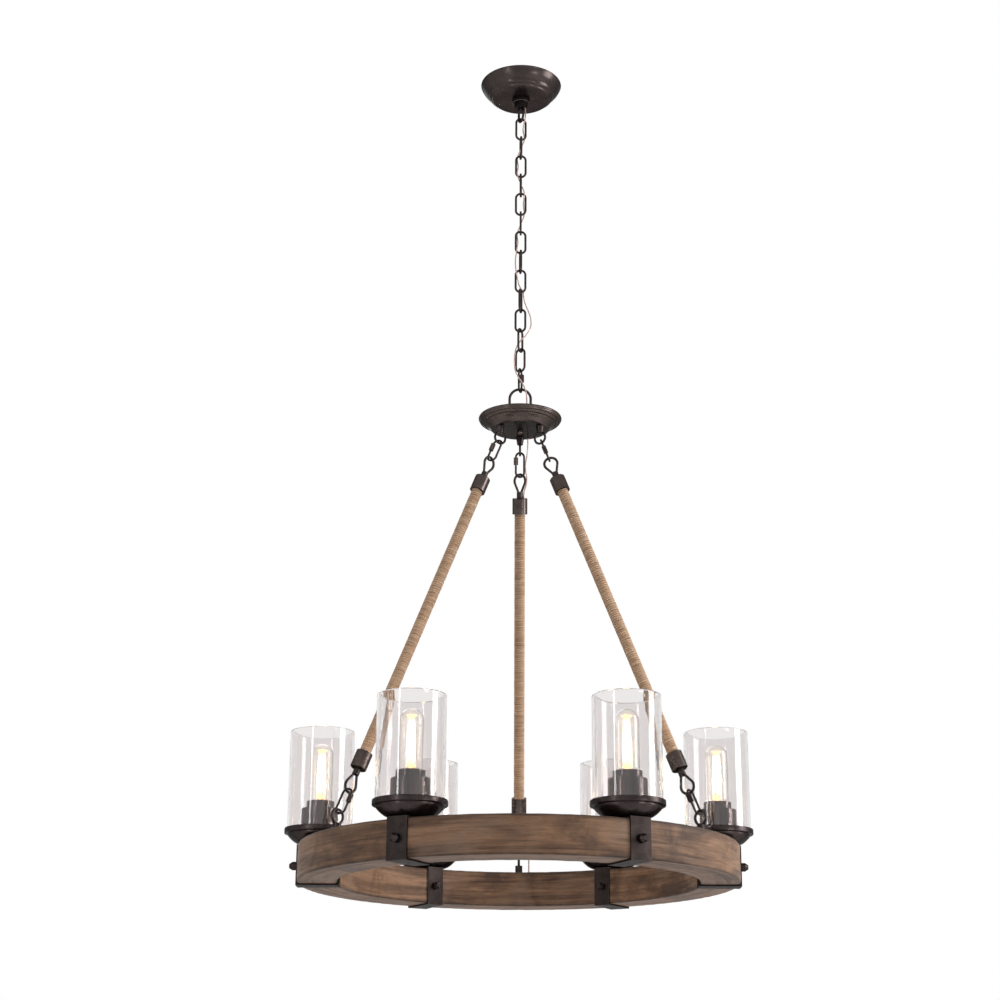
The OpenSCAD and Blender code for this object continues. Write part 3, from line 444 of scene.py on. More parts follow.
@dataclass(frozen=True)
class WeatheredWalnut:
    """Walnut bent round a ring: grain along the arc, a different plank in each segment, dark edges."""

    name: str = "weathered_walnut"
    middle_r: float = RING_R
    segments: int = 6
    heart: Colour = (0.05, 0.026, 0.017)
    brown: Colour = (0.14, 0.074, 0.042)
    tan: Colour = (0.305, 0.166, 0.09)
    grey: Colour = (0.26, 0.182, 0.134)
    burnt: Colour = (0.02, 0.012, 0.009)
    places: tuple[float, ...] = (0.37, 0.46, 0.6)
    lengthways: float = 0.06
    plank_apart: float = 9.0
    plank_tone: Spot = (0.84, 1.1)
    rings: Grain = Grain(62.0, 6.0, 0.62, 1.1)
    ring_share: float = 0.62
    ring_depth: float = 1.2 * MM
    streaks: Grain = Grain(260.0, 5.0, 0.7, 0.4)
    fibres: Grain = Grain(1500.0, 3.0, 0.7)
    fibre_stain: Stain = Stain(0.5, 0.72, 0.4)
    streak_relief: float = 0.7
    relief_depth: float = 0.5 * MM
    blotch: Grain = Grain(14.0, 4.0, 0.6, 0.5)
    grey_stain: Stain = Stain(0.5, 0.7, 0.45)
    dark_stain: Stain = Stain(0.5, 0.36, 0.72)
    pores: float = 420.0
    pore_stain: Stain = Stain(0.16, 0.04, 0.5)
    ragged: Grain = Grain(60.0, 4.0)
    ragged_span: Span = (0.3, 0.65, 0.45, 1.0)
    burn: float = 0.85
    dull: float = 0.72
    shiny: float = 0.52
    shine: float = 0.28

    def grain_place(self, t: ShaderTree) -> tuple[Any, Any, Any]:
        """Unroll the ring.

        Args:
            t: The tree.

        Returns:
            The place drawn out along the arc, the plank's own number, and the place at its true size.
        """
        x, y, z = t.parts(t.place())
        angle = t.math("ARCTAN2", y, x)
        along = t.times(angle, self.middle_r)
        radius = t.math("SQRT", t.plus(t.times(x, x), t.times(y, y)))
        plank = t.math("FLOOR", t.times(angle, self.segments / math.tau))
        luck = t.node("TexWhiteNoise", {"W": plank}, noise_dimensions="1D").outputs["Value"]
        apart = t.times(luck, self.plank_apart)
        fine = t.vector(t.plus(t.times(along, self.lengthways), apart), radius, z)
        return fine, luck, t.vector(t.plus(along, apart), radius, z)

    def build(self) -> bpy.types.Material:
        """Make the material.

        Returns:
            The material.
        """
        t = ShaderTree(self.name)
        fine, luck, wide = self.grain_place(t)
        rings, streaks, fibres = (t.noise(fine, grain) for grain in (self.rings, self.streaks, self.fibres))
        blotch = t.noise(wide, self.blotch)
        tone = t.plus(t.times(rings, self.ring_share), t.times(streaks, 1.0 - self.ring_share))
        base = t.ramp(tone, self.places, (self.heart, self.brown, self.tan))
        base = t.stain(base, self.grey, blotch, self.grey_stain)
        base = t.stain(base, self.heart, blotch, self.dark_stain)
        base = t.stain(base, self.heart, fibres, self.fibre_stain)
        tint = t.span(luck, 0.0, 1.0, *self.plank_tone)
        base = t.mix(1.0, base, t.node("CombineColor", {0: tint, 1: tint, 2: tint}).outputs[0], "MULTIPLY")
        base = t.stain(base, self.heart, t.cells(fine, self.pores)["Distance"], self.pore_stain)
        edge = t.node("Attribute", attribute_name="edge").outputs["Fac"]
        ragged = t.times(edge, t.span(t.noise(wide, self.ragged), *self.ragged_span))
        base = t.mix(t.times(ragged, self.burn), base, self.burnt)
        relief = t.plus(t.times(streaks, self.streak_relief), t.times(fibres, 1.0 - self.streak_relief))
        t.principled(Base_Color=base, Roughness=t.usual(tone, self.dull, self.shiny),
                     Normal=t.bump(relief, self.relief_depth, t.bump(rings, self.ring_depth)),
                     Specular_IOR_Level=self.shine)
        return t.material


@dataclass(frozen=True)
class JuteTwine:
    """Jute twine wound round a tube. The map's first value counts turns, its second is round the rod."""

    name: str = "jute_twine"
    pale: Colour = (0.66, 0.455, 0.3)
    tan: Colour = (0.41, 0.245, 0.145)
    brown: Colour = (0.1, 0.058, 0.034)
    places: tuple[float, ...] = (0.3, 0.42, 0.62)
    plies: float = 13.0
    # Painted shade: brown laid into the creases between the twine's plies.
    painted_ply_shade: Stain = Stain(0.5, 0.0, 0.4)
    # Painted shade: brown laid into the groove between neighbouring turns.
    painted_groove_shade: Stain = Stain(0.36, 0.5, 0.72)
    tint: Grain = Grain(1.7, 4.0, 0.7)
    tint_along: float = 0.9
    fibre: Grain = Grain(2.4, 4.0, 0.7)
    fibre_across: float = 9.0
    fibre_stain: Stain = Stain(0.5, 0.75, 0.5)
    fleck: Grain = Grain(330.0, 2.0, 0.5)
    fleck_stain: Stain = Stain(0.7, 0.78, 0.7)
    ply_relief: float = 0.5
    relief_depth: float = 0.55 * MM
    rough: float = 0.92
    shine: float = 0.25
    fuzz: float = 0.08
    fuzz_rough: float = 0.6

    def build(self) -> bpy.types.Material:
        """Make the material.

        Returns:
            The material.
        """
        t = ShaderTree(self.name)
        wind, around, _ = t.map_parts()
        across = t.math("FRACT", wind)
        turn = t.plus(t.math("FLOOR", wind), around)
        lay = t.plus(t.times(turn, self.plies), across)
        ply = t.math("ABSOLUTE", t.math("SINE", t.times(lay, math.pi)))
        tint = t.noise(t.vector(t.times(turn, self.tint_along), across, 0.0), self.tint)
        fibre = t.noise(t.vector(lay, t.times(across, self.fibre_across), turn), self.fibre)
        # How far from the middle of its turn; the groove between turns gets painted shade.
        hollow = t.math("ABSOLUTE", t.math("SUBTRACT", across, 0.5))
        base = t.ramp(tint, self.places, (self.brown, self.tan, self.pale))
        base = t.stain(base, self.pale, fibre, self.fibre_stain)
        # Painted shade in the creases between plies.
        base = t.stain(base, self.brown, ply, self.painted_ply_shade)
        base = t.stain(base, self.brown, hollow, self.painted_groove_shade)
        base = t.stain(base, self.brown, t.noise(t.place(), self.fleck), self.fleck_stain)
        relief = t.plus(t.times(ply, self.ply_relief), t.times(fibre, 1.0 - self.ply_relief))
        t.principled(Base_Color=base, Roughness=self.rough, Normal=t.bump(relief, self.relief_depth),
                     Sheen_Weight=self.fuzz, Sheen_Roughness=self.fuzz_rough,
                     Specular_IOR_Level=self.shine)
        return t.material


@dataclass(frozen=True)
class SeededGlass:
    """Clear glass with small bubbles and drawn waves, a little grey towards its edges."""

    name: str = "seeded_glass"
    clear: Colour = (0.83, 0.805, 0.8)
    thick: Colour = (0.6, 0.58, 0.58)
    rough: float = 0.0
    bend: float = 1.47
    wave: Grain = Grain(120.0, 2.0, 0.5)
    wave_draw: float = 0.08
    wave_depth: float = 0.07 * MM
    seeds: float = 170.0
    seed_draw: float = 0.6
    seed_edge: Spot = (0.05, 0.26)
    seed_luck: float = 0.84
    seed_grey: float = 0.35
    seed_depth: float = 0.1 * MM
    edge_width: float = 0.35
    edge_power: float = 3.0

    def build(self) -> bpy.types.Material:
        """Make the material.

        Returns:
            The material.
        """
        t = ShaderTree(self.name)
        x, y, z = t.parts(t.place())
        waves = t.noise(t.vector(x, y, t.times(z, self.wave_draw)), self.wave)
        cell = t.cells(t.vector(x, y, t.times(z, self.seed_draw)), self.seeds)
        bubble = t.span(cell["Distance"], *self.seed_edge, 1.0, 0.0)
        number = t.node("SeparateColor", {0: cell["Color"]}).outputs[0]
        seed = t.times(bubble, t.math("GREATER_THAN", number, self.seed_luck))
        facing = t.node("LayerWeight", {"Blend": self.edge_width}).outputs["Facing"]
        tint = t.mix(t.math("POWER", facing, self.edge_power), self.clear, self.thick)
        tint = t.mix(t.times(seed, self.seed_grey), tint, self.thick)
        normal = t.bump(seed, self.seed_depth, t.bump(waves, self.wave_depth))
        glass = t.principled(Base_Color=tint, Roughness=self.rough, IOR=self.bend,
                             Transmission_Weight=1.0, Normal=normal)
        veil = t.node("BsdfTransparent", {0: self.clear})
        shade = t.node("LightPath").outputs["Is Shadow Ray"]
        both = t.node("MixShader", {0: shade, 1: glass.outputs[0], 2: veil.outputs[0]})
        t.put(t.output, "Surface", both.outputs[0])
        return t.material


@dataclass(frozen=True)
class GlowingFilament:
    """Phosphor strip of a lit bulb: yellow white, warmer and fainter at its ends."""

    name: str = "glowing_filament"
    hot: Colour = (1.0, 0.86, 0.62)
    warm: Colour = (1.0, 0.56, 0.2)
    strength: float = 32.0
    faint: float = 1.5
    fade_share: Spot = (0.2, 0.85)
    low: float = 36.0 * MM
    high: float = 104.0 * MM
    end_share: float = 0.45
    end_warmth: float = 0.8
    grain: Grain = Grain(900.0, 2.0)
    grain_span: Span = (0.4, 0.7, 0.0, 0.2)
    rough: float = 0.5

    def build(self) -> bpy.types.Material:
        """Make the material.

        Returns:
            The material.
        """
        t = ShaderTree(self.name)
        middle, half = (self.low + self.high) / 2, (self.high - self.low) / 2
        off = t.math("ABSOLUTE", t.math("SUBTRACT", t.parts(t.place())[2], middle))
        ends = t.span(off, self.end_share * half, half, 0.0, self.end_warmth)
        grains = t.span(t.noise(t.place(), self.grain), *self.grain_span)
        glow = t.mix(t.plus(ends, grains), self.hot, self.warm)
        start, end = (share * half for share in self.fade_share)
        power = t.span(off, start, end, self.strength, self.faint)
        t.principled(Base_Color=glow, Roughness=self.rough, Emission_Color=glow, Emission_Strength=power)
        return t.material


@dataclass(frozen=True)
class PaintedGlowStem:
    """Glass stem and discs inside a lit bulb, with a painted glow: they give off a warm light of their own
    in place of the light the strips throw on them.
    """

    name: str = "stem_painted_glow"
    tint: Colour = (1.0, 0.7, 0.34)
    pale: Colour = (1.0, 0.92, 0.78)
    cloud: Grain = Grain(300.0, 3.0)
    rough: float = 0.25
    clearness: float = 0.4
    # Painted glow: strength of the stem's own emission.
    glow: float = 0.9

    def build(self) -> bpy.types.Material:
        """Make the material.

        Returns:
            The material.
        """
        t = ShaderTree(self.name)
        base = t.mix(t.noise(t.place(), self.cloud), self.tint, self.pale)
        t.principled(Base_Color=base, Roughness=self.rough, Transmission_Weight=self.clearness,
                     Emission_Color=self.tint, Emission_Strength=self.glow)
        return t.material


@dataclass(frozen=True)
class NickelCap:
    """Rolled nickel cap of a bulb, with rub marks round its thread."""

    name: str = "nickel_cap"
    light: Colour = (0.7, 0.66, 0.58)
    dark: Colour = (0.34, 0.31, 0.27)
    places: Spot = (0.35, 0.65)
    rubs: Grain = Grain(90.0, 4.0)
    rub_squeeze: float = 14.0
    dull: float = 0.36
    shiny: float = 0.2

    def build(self) -> bpy.types.Material:
        """Make the material.

        Returns:
            The material.
        """
        t = ShaderTree(self.name)
        x, y, z = t.parts(t.place())
        rubs = t.noise(t.vector(x, y, t.times(z, self.rub_squeeze)), self.rubs)
        base = t.ramp(rubs, self.places, (self.dark, self.light))
        t.principled(Base_Color=base, Metallic=1.0, Roughness=t.usual(rubs, self.dull, self.shiny))
        return t.material


@dataclass(frozen=True)
class GlazedCeramic:
    """Cream glazed ceramic of the lamp holders."""

    name: str = "glazed_ceramic"
    glaze: Colour = (0.82, 0.79, 0.72)
    soiled: Colour = (0.66, 0.6, 0.5)
    soil: Grain = Grain(120.0, 5.0, 0.65)
    soil_stain: Stain = Stain(0.5, 0.8, 0.6)
    smear: Grain = Grain(60.0)
    shiny: float = 0.14
    dull: float = 0.26
    ripple: Grain = Grain(240.0, 2.0)
    ripple_depth: float = 0.08 * MM
    coat: float = 0.5
    coat_rough: float = 0.06

    def build(self) -> bpy.types.Material:
        """Make the material.

        Returns:
            The material.
        """
        t = ShaderTree(self.name)
        at = t.place()
        base = t.stain(self.glaze, self.soiled, t.noise(at, self.soil), self.soil_stain)
        t.principled(Base_Color=base, Roughness=t.usual(t.noise(at, self.smear), self.shiny, self.dull),
                     Coat_Weight=self.coat, Coat_Roughness=self.coat_rough,
                     Normal=t.bump(t.noise(at, self.ripple), self.ripple_depth))
        return t.material


@dataclass(frozen=True)
class ClearJacket:
    """Clear plastic over twisted copper strands. The map's first value is along the cord in metres."""

    name: str = "clear_jacket"
    copper: Colour = (0.42, 0.2, 0.14)
    jacket: Colour = (0.72, 0.56, 0.52)
    twist: float = 260.0
    strands: float = 4.0
    strand_span: Span = (0.2, 0.9, 0.0, 1.0)
    strand_depth: float = 0.15 * MM
    rough: float = 0.3
    coat: float = 0.9
    coat_rough: float = 0.08

    def build(self) -> bpy.types.Material:
        """Make the material.

        Returns:
            The material.
        """
        t = ShaderTree(self.name)
        along, around, _ = t.map_parts()
        lay = t.plus(t.times(along, self.twist), t.times(around, self.strands))
        strand = t.math("ABSOLUTE", t.math("SINE", t.times(lay, math.pi)))
        base = t.mix(t.span(strand, *self.strand_span), self.jacket, self.copper)
        t.principled(Base_Color=base, Roughness=self.rough, Coat_Weight=self.coat,
                     Coat_Roughness=self.coat_rough, Normal=t.bump(strand, self.strand_depth))
        return t.material


class Finishes:
    """All finishes of the chandelier, each made once."""

    def __init__(self) -> None:
        """Make the materials."""
        # Painted light: a lighter copy of the bronze for the hub and the rods' caps, standing in for light
        # on their undersides.
        painted = DarkBronze(
            name="bronze_lightened", body=(0.086, 0.067, 0.061), shadow=(0.056, 0.043, 0.039),
            rubbed=(0.17, 0.13, 0.105), edge_tint=(0.1, 0.08, 0.075), dull=0.32, lacquer=0.06,
            cloud=Grain(32.0, 5.0, 0.6, 0.6), wear=0.3, peel_depth=0.015 * MM)
        # Painted light: a copy of that lighter bronze, a little darker, for the canopy and its ring nut.
        canopy = replace(painted, name="bronze_canopy_lightened", body=(0.058, 0.046, 0.043),
                         shadow=(0.038, 0.03, 0.028))
        # Painted shade: a darker copy of the bronze for the straps, their bolts and nuts and the lower
        # quick-link nuts. It is also rougher.
        flat = DarkBronze(name="bronze_flat_darkened", body=(0.036, 0.028, 0.0265), shadow=(0.021, 0.016, 0.015),
                          lacquer=0.04, shiny=0.32, dull=0.46)
        # The sleeve's upright stripes of dark and lighter bronze are painted reflections of the lamps.
        sleeve = DarkBronze(
            name="bronze_sleeve_painted_streaks", body=(0.085, 0.063, 0.06), shadow=(0.016, 0.0115, 0.011),
            edge_tint=(0.4, 0.36, 0.36), lacquer=0.5, shiny=0.08, dull=0.2, drawn=0.03,
            cloud=Grain(75.0, 5.0, 0.6, 0.6), contrast=0.07)
        bulb = SeededGlass(name="bulb_glass", clear=(1.0, 0.985, 0.96), thick=(0.5, 0.47, 0.46),
                           seed_depth=0.0, wave_depth=0.02 * MM, rough=0.15)
        self.bronze = DarkBronze().build()
        self.painted = painted.build()
        self.canopy = canopy.build()
        self.flat = flat.build()
        self.wire = DarkBronze(name="bronze_wire", wear=0.35).build()
        self.sleeve = sleeve.build()
        self.steel = ZincSteel().build()
        self.wood = WeatheredWalnut().build()
        self.jute = JuteTwine().build()
        self.glass = SeededGlass().build()
        self.bulb = bulb.build()
        self.filament = GlowingFilament().build()
        self.stem = PaintedGlowStem().build()
        self.cap = NickelCap().build()
        self.ceramic = GlazedCeramic().build()
        self.cord = ClearJacket().build()


# Meshes


def make_piece(name: str, points: Any, faces: Any, material: bpy.types.Material, slot: Slot,
               uvs: Any = None, sharp: float = 38.0) -> bpy.types.Object:
    """Make a smooth shaded piece.

    Args:
        name: Its name.
        points: Its vertices.
        faces: Its faces, as vertex numbers.
        material: Its finish.
        slot: The record's slot of that finish. Not used.
        uvs: A map value for each corner of each face.
        sharp: Edges above this angle in degrees stay sharp.

    Returns:
        The new object.
    """
    mesh = bpy.data.meshes.new(name)
    mesh.from_pydata([tuple(p) for p in points], [], [tuple(int(v) for v in f) for f in faces])
    if uvs is not None:
        layer = mesh.uv_layers.new(name="map")
        layer.data.foreach_set("uv", np.asarray(uvs, np.float32).ravel())
    mesh.validate()
    mesh.shade_smooth()
    mesh.set_sharp_from_angle(angle=math.radians(sharp))
    mesh.materials.append(material)
    piece = bpy.data.objects.new(name, mesh)
    bpy.context.scene.collection.objects.link(piece)
    return piece


def lathe(outline: Profile, sides: int, closed: bool = True) -> tuple[list[Point], list[list[int]]]:
    """Turn an outline round Z.

    Args:
        outline: Radius and height of each point, in order, outside to the right.
        sides: Steps round the axis.
        closed: Whether the last point joins the first.

    Returns:
        The vertices and faces. A point on the axis is one vertex.
    """
    points: list[Point] = []
    rows: list[list[int]] = []
    for radius, height in outline:
        if radius < ON_AXIS:
            rows.append([len(points)] * sides)
            points.append((0.0, 0.0, height))
            continue
        rows.append(list(range(len(points), len(points) + sides)))
        for k in range(sides):
            angle = math.tau * k / sides
            points.append((radius * math.cos(angle), radius * math.sin(angle), height))
    faces: list[list[int]] = []
    pairs = list(zip(rows, rows[1:])) + ([(rows[-1], rows[0])] if closed else [])
    for low, high in pairs:
        for k in range(sides):
            n = (k + 1) % sides
            corner = [low[k], low[n], high[n], high[k]]
            face = [v for i, v in enumerate(corner) if v not in corner[:i]]
            if len(face) > 2:
                faces.append(face)
    return points, faces


def arc(centre: Spot, radius: float, start: float, end: float, steps: int) -> list[Spot]:
    """Return points on an arc.

    Args:
        centre: Its centre.
        radius: Its radius.
        start: First angle in degrees.
        end: Last angle in degrees.
        steps: Steps between them.

    Returns:
        The points, both ends included.
    """
    turns = [math.radians(start + (end - start) * i / steps) for i in range(steps + 1)]
    return [(centre[0] + radius * math.cos(a), centre[1] + radius * math.sin(a)) for a in turns]


def shifted(points: Profile, corner: Spot) -> list[Spot]:
    """Return points of an outline that are measured from a corner of it."""
    return [(corner[0] + across, corner[1] + up) for across, up in points]


@dataclass(frozen=True)
class Bulge:
    """Shallow curve in an outline: its ends, how far its middle stands out to the right, and its steps."""

    start: Spot
    end: Spot
    height: float
    steps: int

    def points(self, corner: Spot = (0.0, 0.0), end_corner: Spot | None = None) -> list[Spot]:
        """Return its points.

        Args:
            corner: The corner of the outline that it is measured from.
            end_corner: The corner that its end is measured from, where that is another.

        Returns:
            The points, both ends included.
        """
        start, end = *shifted([self.start], corner), *shifted([self.end], end_corner or corner)
        across, up = end[0] - start[0], end[1] - start[1]
        length = math.hypot(across, up)
        out = []
        for i in range(self.steps + 1):
            share = i / self.steps
            rise = self.height * math.sin(math.pi * share)
            out.append((start[0] + across * share + up / length * rise,
                        start[1] + up * share - across / length * rise))
        return out


def spun(name: str, outer: Profile, inner: Profile, material: bpy.types.Material) -> bpy.types.Object:
    """Make a spun sheet.

    Args:
        name: Its name.
        outer: Its outer side from the hole to the rim, in millimetres.
        inner: Its inner side from the rim back to the hole, in millimetres.
        material: Its finish.

    Returns:
        The piece.
    """
    outline = [(radius * MM, height * MM) for radius, height in (*outer, *inner)]
    return make_piece(name, *lathe(outline, SPIN_SIDES), material, Slot.BRONZE)


def join(parts: Sequence[Mesh]) -> tuple[list[Point], list[list[int]]]:
    """Put several meshes in one.

    Args:
        parts: Vertices and faces of each.

    Returns:
        The joined vertices and faces.
    """
    points: list[Point] = []
    faces: list[list[int]] = []
    for some, theirs in parts:
        shift = len(points)
        points.extend(tuple(p) for p in some)
        faces.extend([v + shift for v in face] for face in theirs)
    return points, faces


def dress(names: Sequence[str], material: bpy.types.Material) -> None:
    """Give CAD nodes a finish.

    Args:
        names: The nodes.
        material: The finish.
    """
    for name in names:
        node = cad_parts[name]
        if not node.material_slots:
            node.data.materials.append(material)
        for place in node.material_slots:
            place.material = material


# Stage


@dataclass(frozen=True)
class SoftLamp:
    """Rectangular lamp: its place, what it points at, its width and height, and its power in watts."""

    name: str
    at: Point
    aim: Point
    size: Spot
    power: float

    def hang(self) -> None:
        """Make the lamp."""
        data = bpy.data.lights.new(self.name, "AREA")
        data.shape = "RECTANGLE"
        data.size, data.size_y = self.size
        data.energy = self.power
        lamp = bpy.data.objects.new(self.name, data)
        lamp.location = self.at
        lamp.rotation_euler = (Vector(self.aim) - Vector(self.at)).to_track_quat("-Z", "Y").to_euler()
        bpy.context.scene.collection.objects.link(lamp)


@dataclass
class Studio:
    """Camera in front and below, soft lamps, pale floor and white surroundings."""

    camera_at: Point = (0.0, -2.73011, -1.60853)
    lens: float = 69.37
    sensor: float = 36.0
    pitch: float = 17.805
    roll: float = 0.17
    shift: Spot = (-0.0198, 0.02)
    clip: Spot = (0.05, 60.0)
    lamps: tuple[SoftLamp, ...] = (
        SoftLamp("key_right", (2.3, -0.35, -0.5), (0.1, 0.0, -1.1), (0.9, 1.7), 46.0),
        SoftLamp("strip_left", (-1.3, -1.7, -1.0), (0.0, 0.0, -1.0), (0.16, 1.5), 7.0),
        SoftLamp("top_back", (-0.6, 1.9, 0.1), (0.0, 0.0, -0.9), (1.4, 0.7), 9.0),
        SoftLamp("soft_right", (1.3, -1.35, -1.3), (0.0, 0.0, -0.5), (0.4, 0.5), 5.0))
    sky: Colour = (0.97, 0.985, 1.0)
    sky_low: float = 0.42
    sky_high: float = 0.72
    floor_z: float = -1.95
    floor_size: float = 30.0
    floor_colour: Colour = (0.86, 0.855, 0.845)
    floor_patch: Colour = (0.7, 0.69, 0.67)
    floor_bounce: Colour = (0.36, 0.35, 0.345)
    floor_light: Colour = (1.0, 0.99, 0.975)
    floor_glow: float = 0.36
    floor_cloud: Grain = Grain(3.0, 4.0)
    patch_share: float = 0.04
    floor_rough: float = 0.7

    def place_camera(self) -> None:
        """Make the camera and look through it."""
        data = bpy.data.cameras.new("camera")
        data.lens = self.lens
        data.sensor_width = self.sensor
        data.shift_x, data.shift_y = self.shift
        data.clip_start, data.clip_end = self.clip
        camera = bpy.data.objects.new("camera", data)
        bpy.context.scene.collection.objects.link(camera)
        tilt = Matrix.Rotation(math.radians(90.0 + self.pitch), 4, "X")
        roll = Matrix.Rotation(math.radians(self.roll), 4, "Z")
        camera.matrix_world = Matrix.Translation(self.camera_at) @ tilt @ roll
        bpy.context.scene.camera = camera

    def surround(self) -> None:
        """Make the world: even light on the object, white where the camera, metal and glass look."""
        world = bpy.data.worlds.new("studio")
        bpy.context.scene.world = world
        world.use_nodes = True
        t = Tree(world.node_tree)
        height = t.parts(t.node("TexCoord").outputs["Generated"])[2]
        strength = t.span(height, -1.0, 1.0, self.sky_low, self.sky_high)
        light = t.node("Background", {"Color": self.sky, "Strength": strength})
        white = t.node("Background", {"Color": (1.0, 1.0, 1.0)})
        both = t.node("MixShader", {0: t.seen(), 1: light.outputs[0], 2: white.outputs[0]})
        t.node("OutputWorld", {0: both.outputs[0]})

    def lay_floor(self) -> None:
        """Make the pale floor."""
        t = ShaderTree("pale_floor")
        cloud = t.noise(t.place(), self.floor_cloud)
        base = t.mix(t.usual(cloud, 0.0, self.patch_share), self.floor_colour, self.floor_patch)
        seen = t.seen()
        t.principled(Base_Color=t.mix(seen, self.floor_bounce, base), Roughness=self.floor_rough,
                     Emission_Color=self.floor_light, Emission_Strength=t.times(seen, self.floor_glow))
        half = self.floor_size / 2
        corners = [(x * half, y * half, self.floor_z) for x, y in ((-1, -1), (1, -1), (1, 1), (-1, 1))]
        floor = make_piece("floor", corners, [[0, 1, 2, 3]], t.material, Slot.CERAMIC)

    def build(self) -> None:
        """Make the whole stage."""
        self.place_camera()
        for lamp in self.lamps:
            lamp.hang()
        self.surround()
        self.lay_floor()
        bpy.context.scene.view_settings.view_transform = "Standard"


# Sub-assemblies


@dataclass
class LampCord:
    """Thin clear cord, wound through the chain, led through the hub and down beside the back rod's tube.

    The two lists are its route in millimetres: from the crossbar to the rod, and from the rod to the ring.
    """

    finishes: Finishes
    radius: float = 1.0 * MM
    sides: int = 14
    steps: int = 6
    first_across: Point = (0.3, 0.8, 0.1)
    sharp: float = 60.0
    hidden_r: float = 5.15 * MM
    hidden_knots: tuple[float, ...] = (100 * MM, 140 * MM, 319 * MM, 498 * MM, 538 * MM)
    chain_mid: float = -78.85 * MM
    pitch: float = 33.05 * MM
    quick_mid: float = -508.6 * MM
    bail_mid: float = -552 * MM
    jute_top: float = -672 * MM
    jute_low: float = -1192 * MM
    upper: tuple[Point, ...] = (
        (14, -13, -1), (13.5, -12, -6), (10, -8, -12), (6.8, -4.2, -18), (6.5, -3.5, -23), (6.5, -3.5, -38),
        (6.5, -3.5, -44), (7.2, -4.5, -52), (6.8, -6, -62), (4.4, -3.2, -72), (3.4, 2, -80), (5.5, 5.5, -94),
        (0.5, 4, -110), (-5.5, 5.5, -127), (-4.2, 0.5, -145), (-5.5, -5.5, -161), (0, -4.2, -178),
        (5.5, -5.5, -194), (4.2, 0, -211), (5.5, 5.5, -227), (0, 4.2, -244), (-5.5, 5.5, -260),
        (-4.2, -0.5, -277), (-6, -6, -293), (-8, -6.5, -310), (-7, -5.4, -328), (-3.8, -0.5, -343),
        (-1.5, 4.2, -350), (3.8, 5, -358), (4.8, 5, -366), (7, 7.5, -377), (15, 5, -400), (16, 3, -418),
        (9, -1, -434), (3.5, -2.4, -440), (-1, -1.6, -446), (-5.2, -1.8, -453), (-7.5, -4, -461),
        (-9, -7.5, -476), (-8.5, -7, -490), (-6.5, -9.5, -500), (-2.5, -10.8, -508), (4, -9, -518),
        (9, -4, -530), (10, 5, -546), (9, 9, -556), (9, 9, -564), (10, 15, -571), (12, 24, -577),
        (12.5, 31, -582), (12, 34, -588), (12, 35, -597), (11.5, 37.5, -606), (10.5, 41.5, -616),
        (8.6, 45, -626), (8.6, 49, -636), (10.6, 52, -648), (9.8, 55, -657), (7.2, 58.6, -665),
        (6.25, 60.5, -670))
    lower: tuple[Point, ...] = (
        (6.25, 256, -1134.6), (7.5, 258.6, -1141), (10, 262, -1149), (12.5, 266, -1160), (14.5, 271, -1174),
        (15.5, 277, -1190), (15.5, 281.5, -1204), (15.5, 282, -1214), (15.5, 282, -1229))

    def route(self) -> np.ndarray:
        """Smooth the route, the hidden run inside the jute included.

        Returns:
            Its points.
        """
        hidden = [(self.hidden_r, ROD_EYE_R + s * math.sin(ROD_TILT), ROD_EYE_Z - s * math.cos(ROD_TILT))
                  for s in self.hidden_knots]
        knots = np.concatenate([np.array(self.upper, float) * MM, hidden, np.array(self.lower, float) * MM])
        path: list[np.ndarray] = []
        last = len(knots) - 1
        for i in range(last):
            a, b, c, d = knots[max(i - 1, 0)], knots[i], knots[i + 1], knots[min(i + 2, last)]
            for step in range(self.steps):
                s = step / self.steps
                path.append(0.5 * (2 * b + (c - a) * s + (2 * a - 5 * b + 4 * c - d) * s * s
                                   + (3 * b - a - 3 * c + d) * s ** 3))
        path.append(knots[last])
        return np.array(path)

    def rings(self, path: np.ndarray) -> np.ndarray:
        """Return a ring of points round each point of the route, turned as little as may be.

        Args:
            path: The route.

        Returns:
            An array of rings, points and coordinates.
        """
        ahead = np.gradient(path, axis=0)
        ahead /= np.linalg.norm(ahead, axis=1)[:, None]
        across = np.cross(ahead[0], self.first_across)
        turns = np.arange(self.sides) * math.tau / self.sides
        out = []
        for at, way in zip(path, ahead):
            across = across - way * across.dot(way)
            across /= np.linalg.norm(across)
            aside = np.cross(way, across)
            out.append(at + self.radius * (np.cos(turns)[:, None] * across + np.sin(turns)[:, None] * aside))
        return np.array(out)

    def stretch(self, name: str, rings: np.ndarray, along: np.ndarray, first: int,
                last: int) -> bpy.types.Object:
        """Make one stretch of the cord.

        Args:
            name: Its name.
            rings: All rings.
            along: Length from the cord's start to each ring.
            first: Its first ring.
            last: Its last ring.

        Returns:
            The stretch.
        """
        part = rings[first:last + 1]
        count, n = len(part), self.sides
        faces, uvs = [], []
        for i in range(count - 1):
            for k in range(n):
                m = (k + 1) % n
                faces.append([i * n + k, i * n + m, (i + 1) * n + m, (i + 1) * n + k])
                low, high = along[first + i], along[first + i + 1]
                uvs += [(low, k / n), (low, (k + 1) / n), (high, (k + 1) / n), (high, k / n)]
        for i, order in ((0, range(n - 1, -1, -1)), (count - 1, range(n))):
            faces.append([i * n + k for k in order])
            uvs += [(along[first + i], 0.0)] * n
        return make_piece(name, part.reshape(-1, 3), faces, self.finishes.cord, Slot.CORD, uvs, self.sharp)

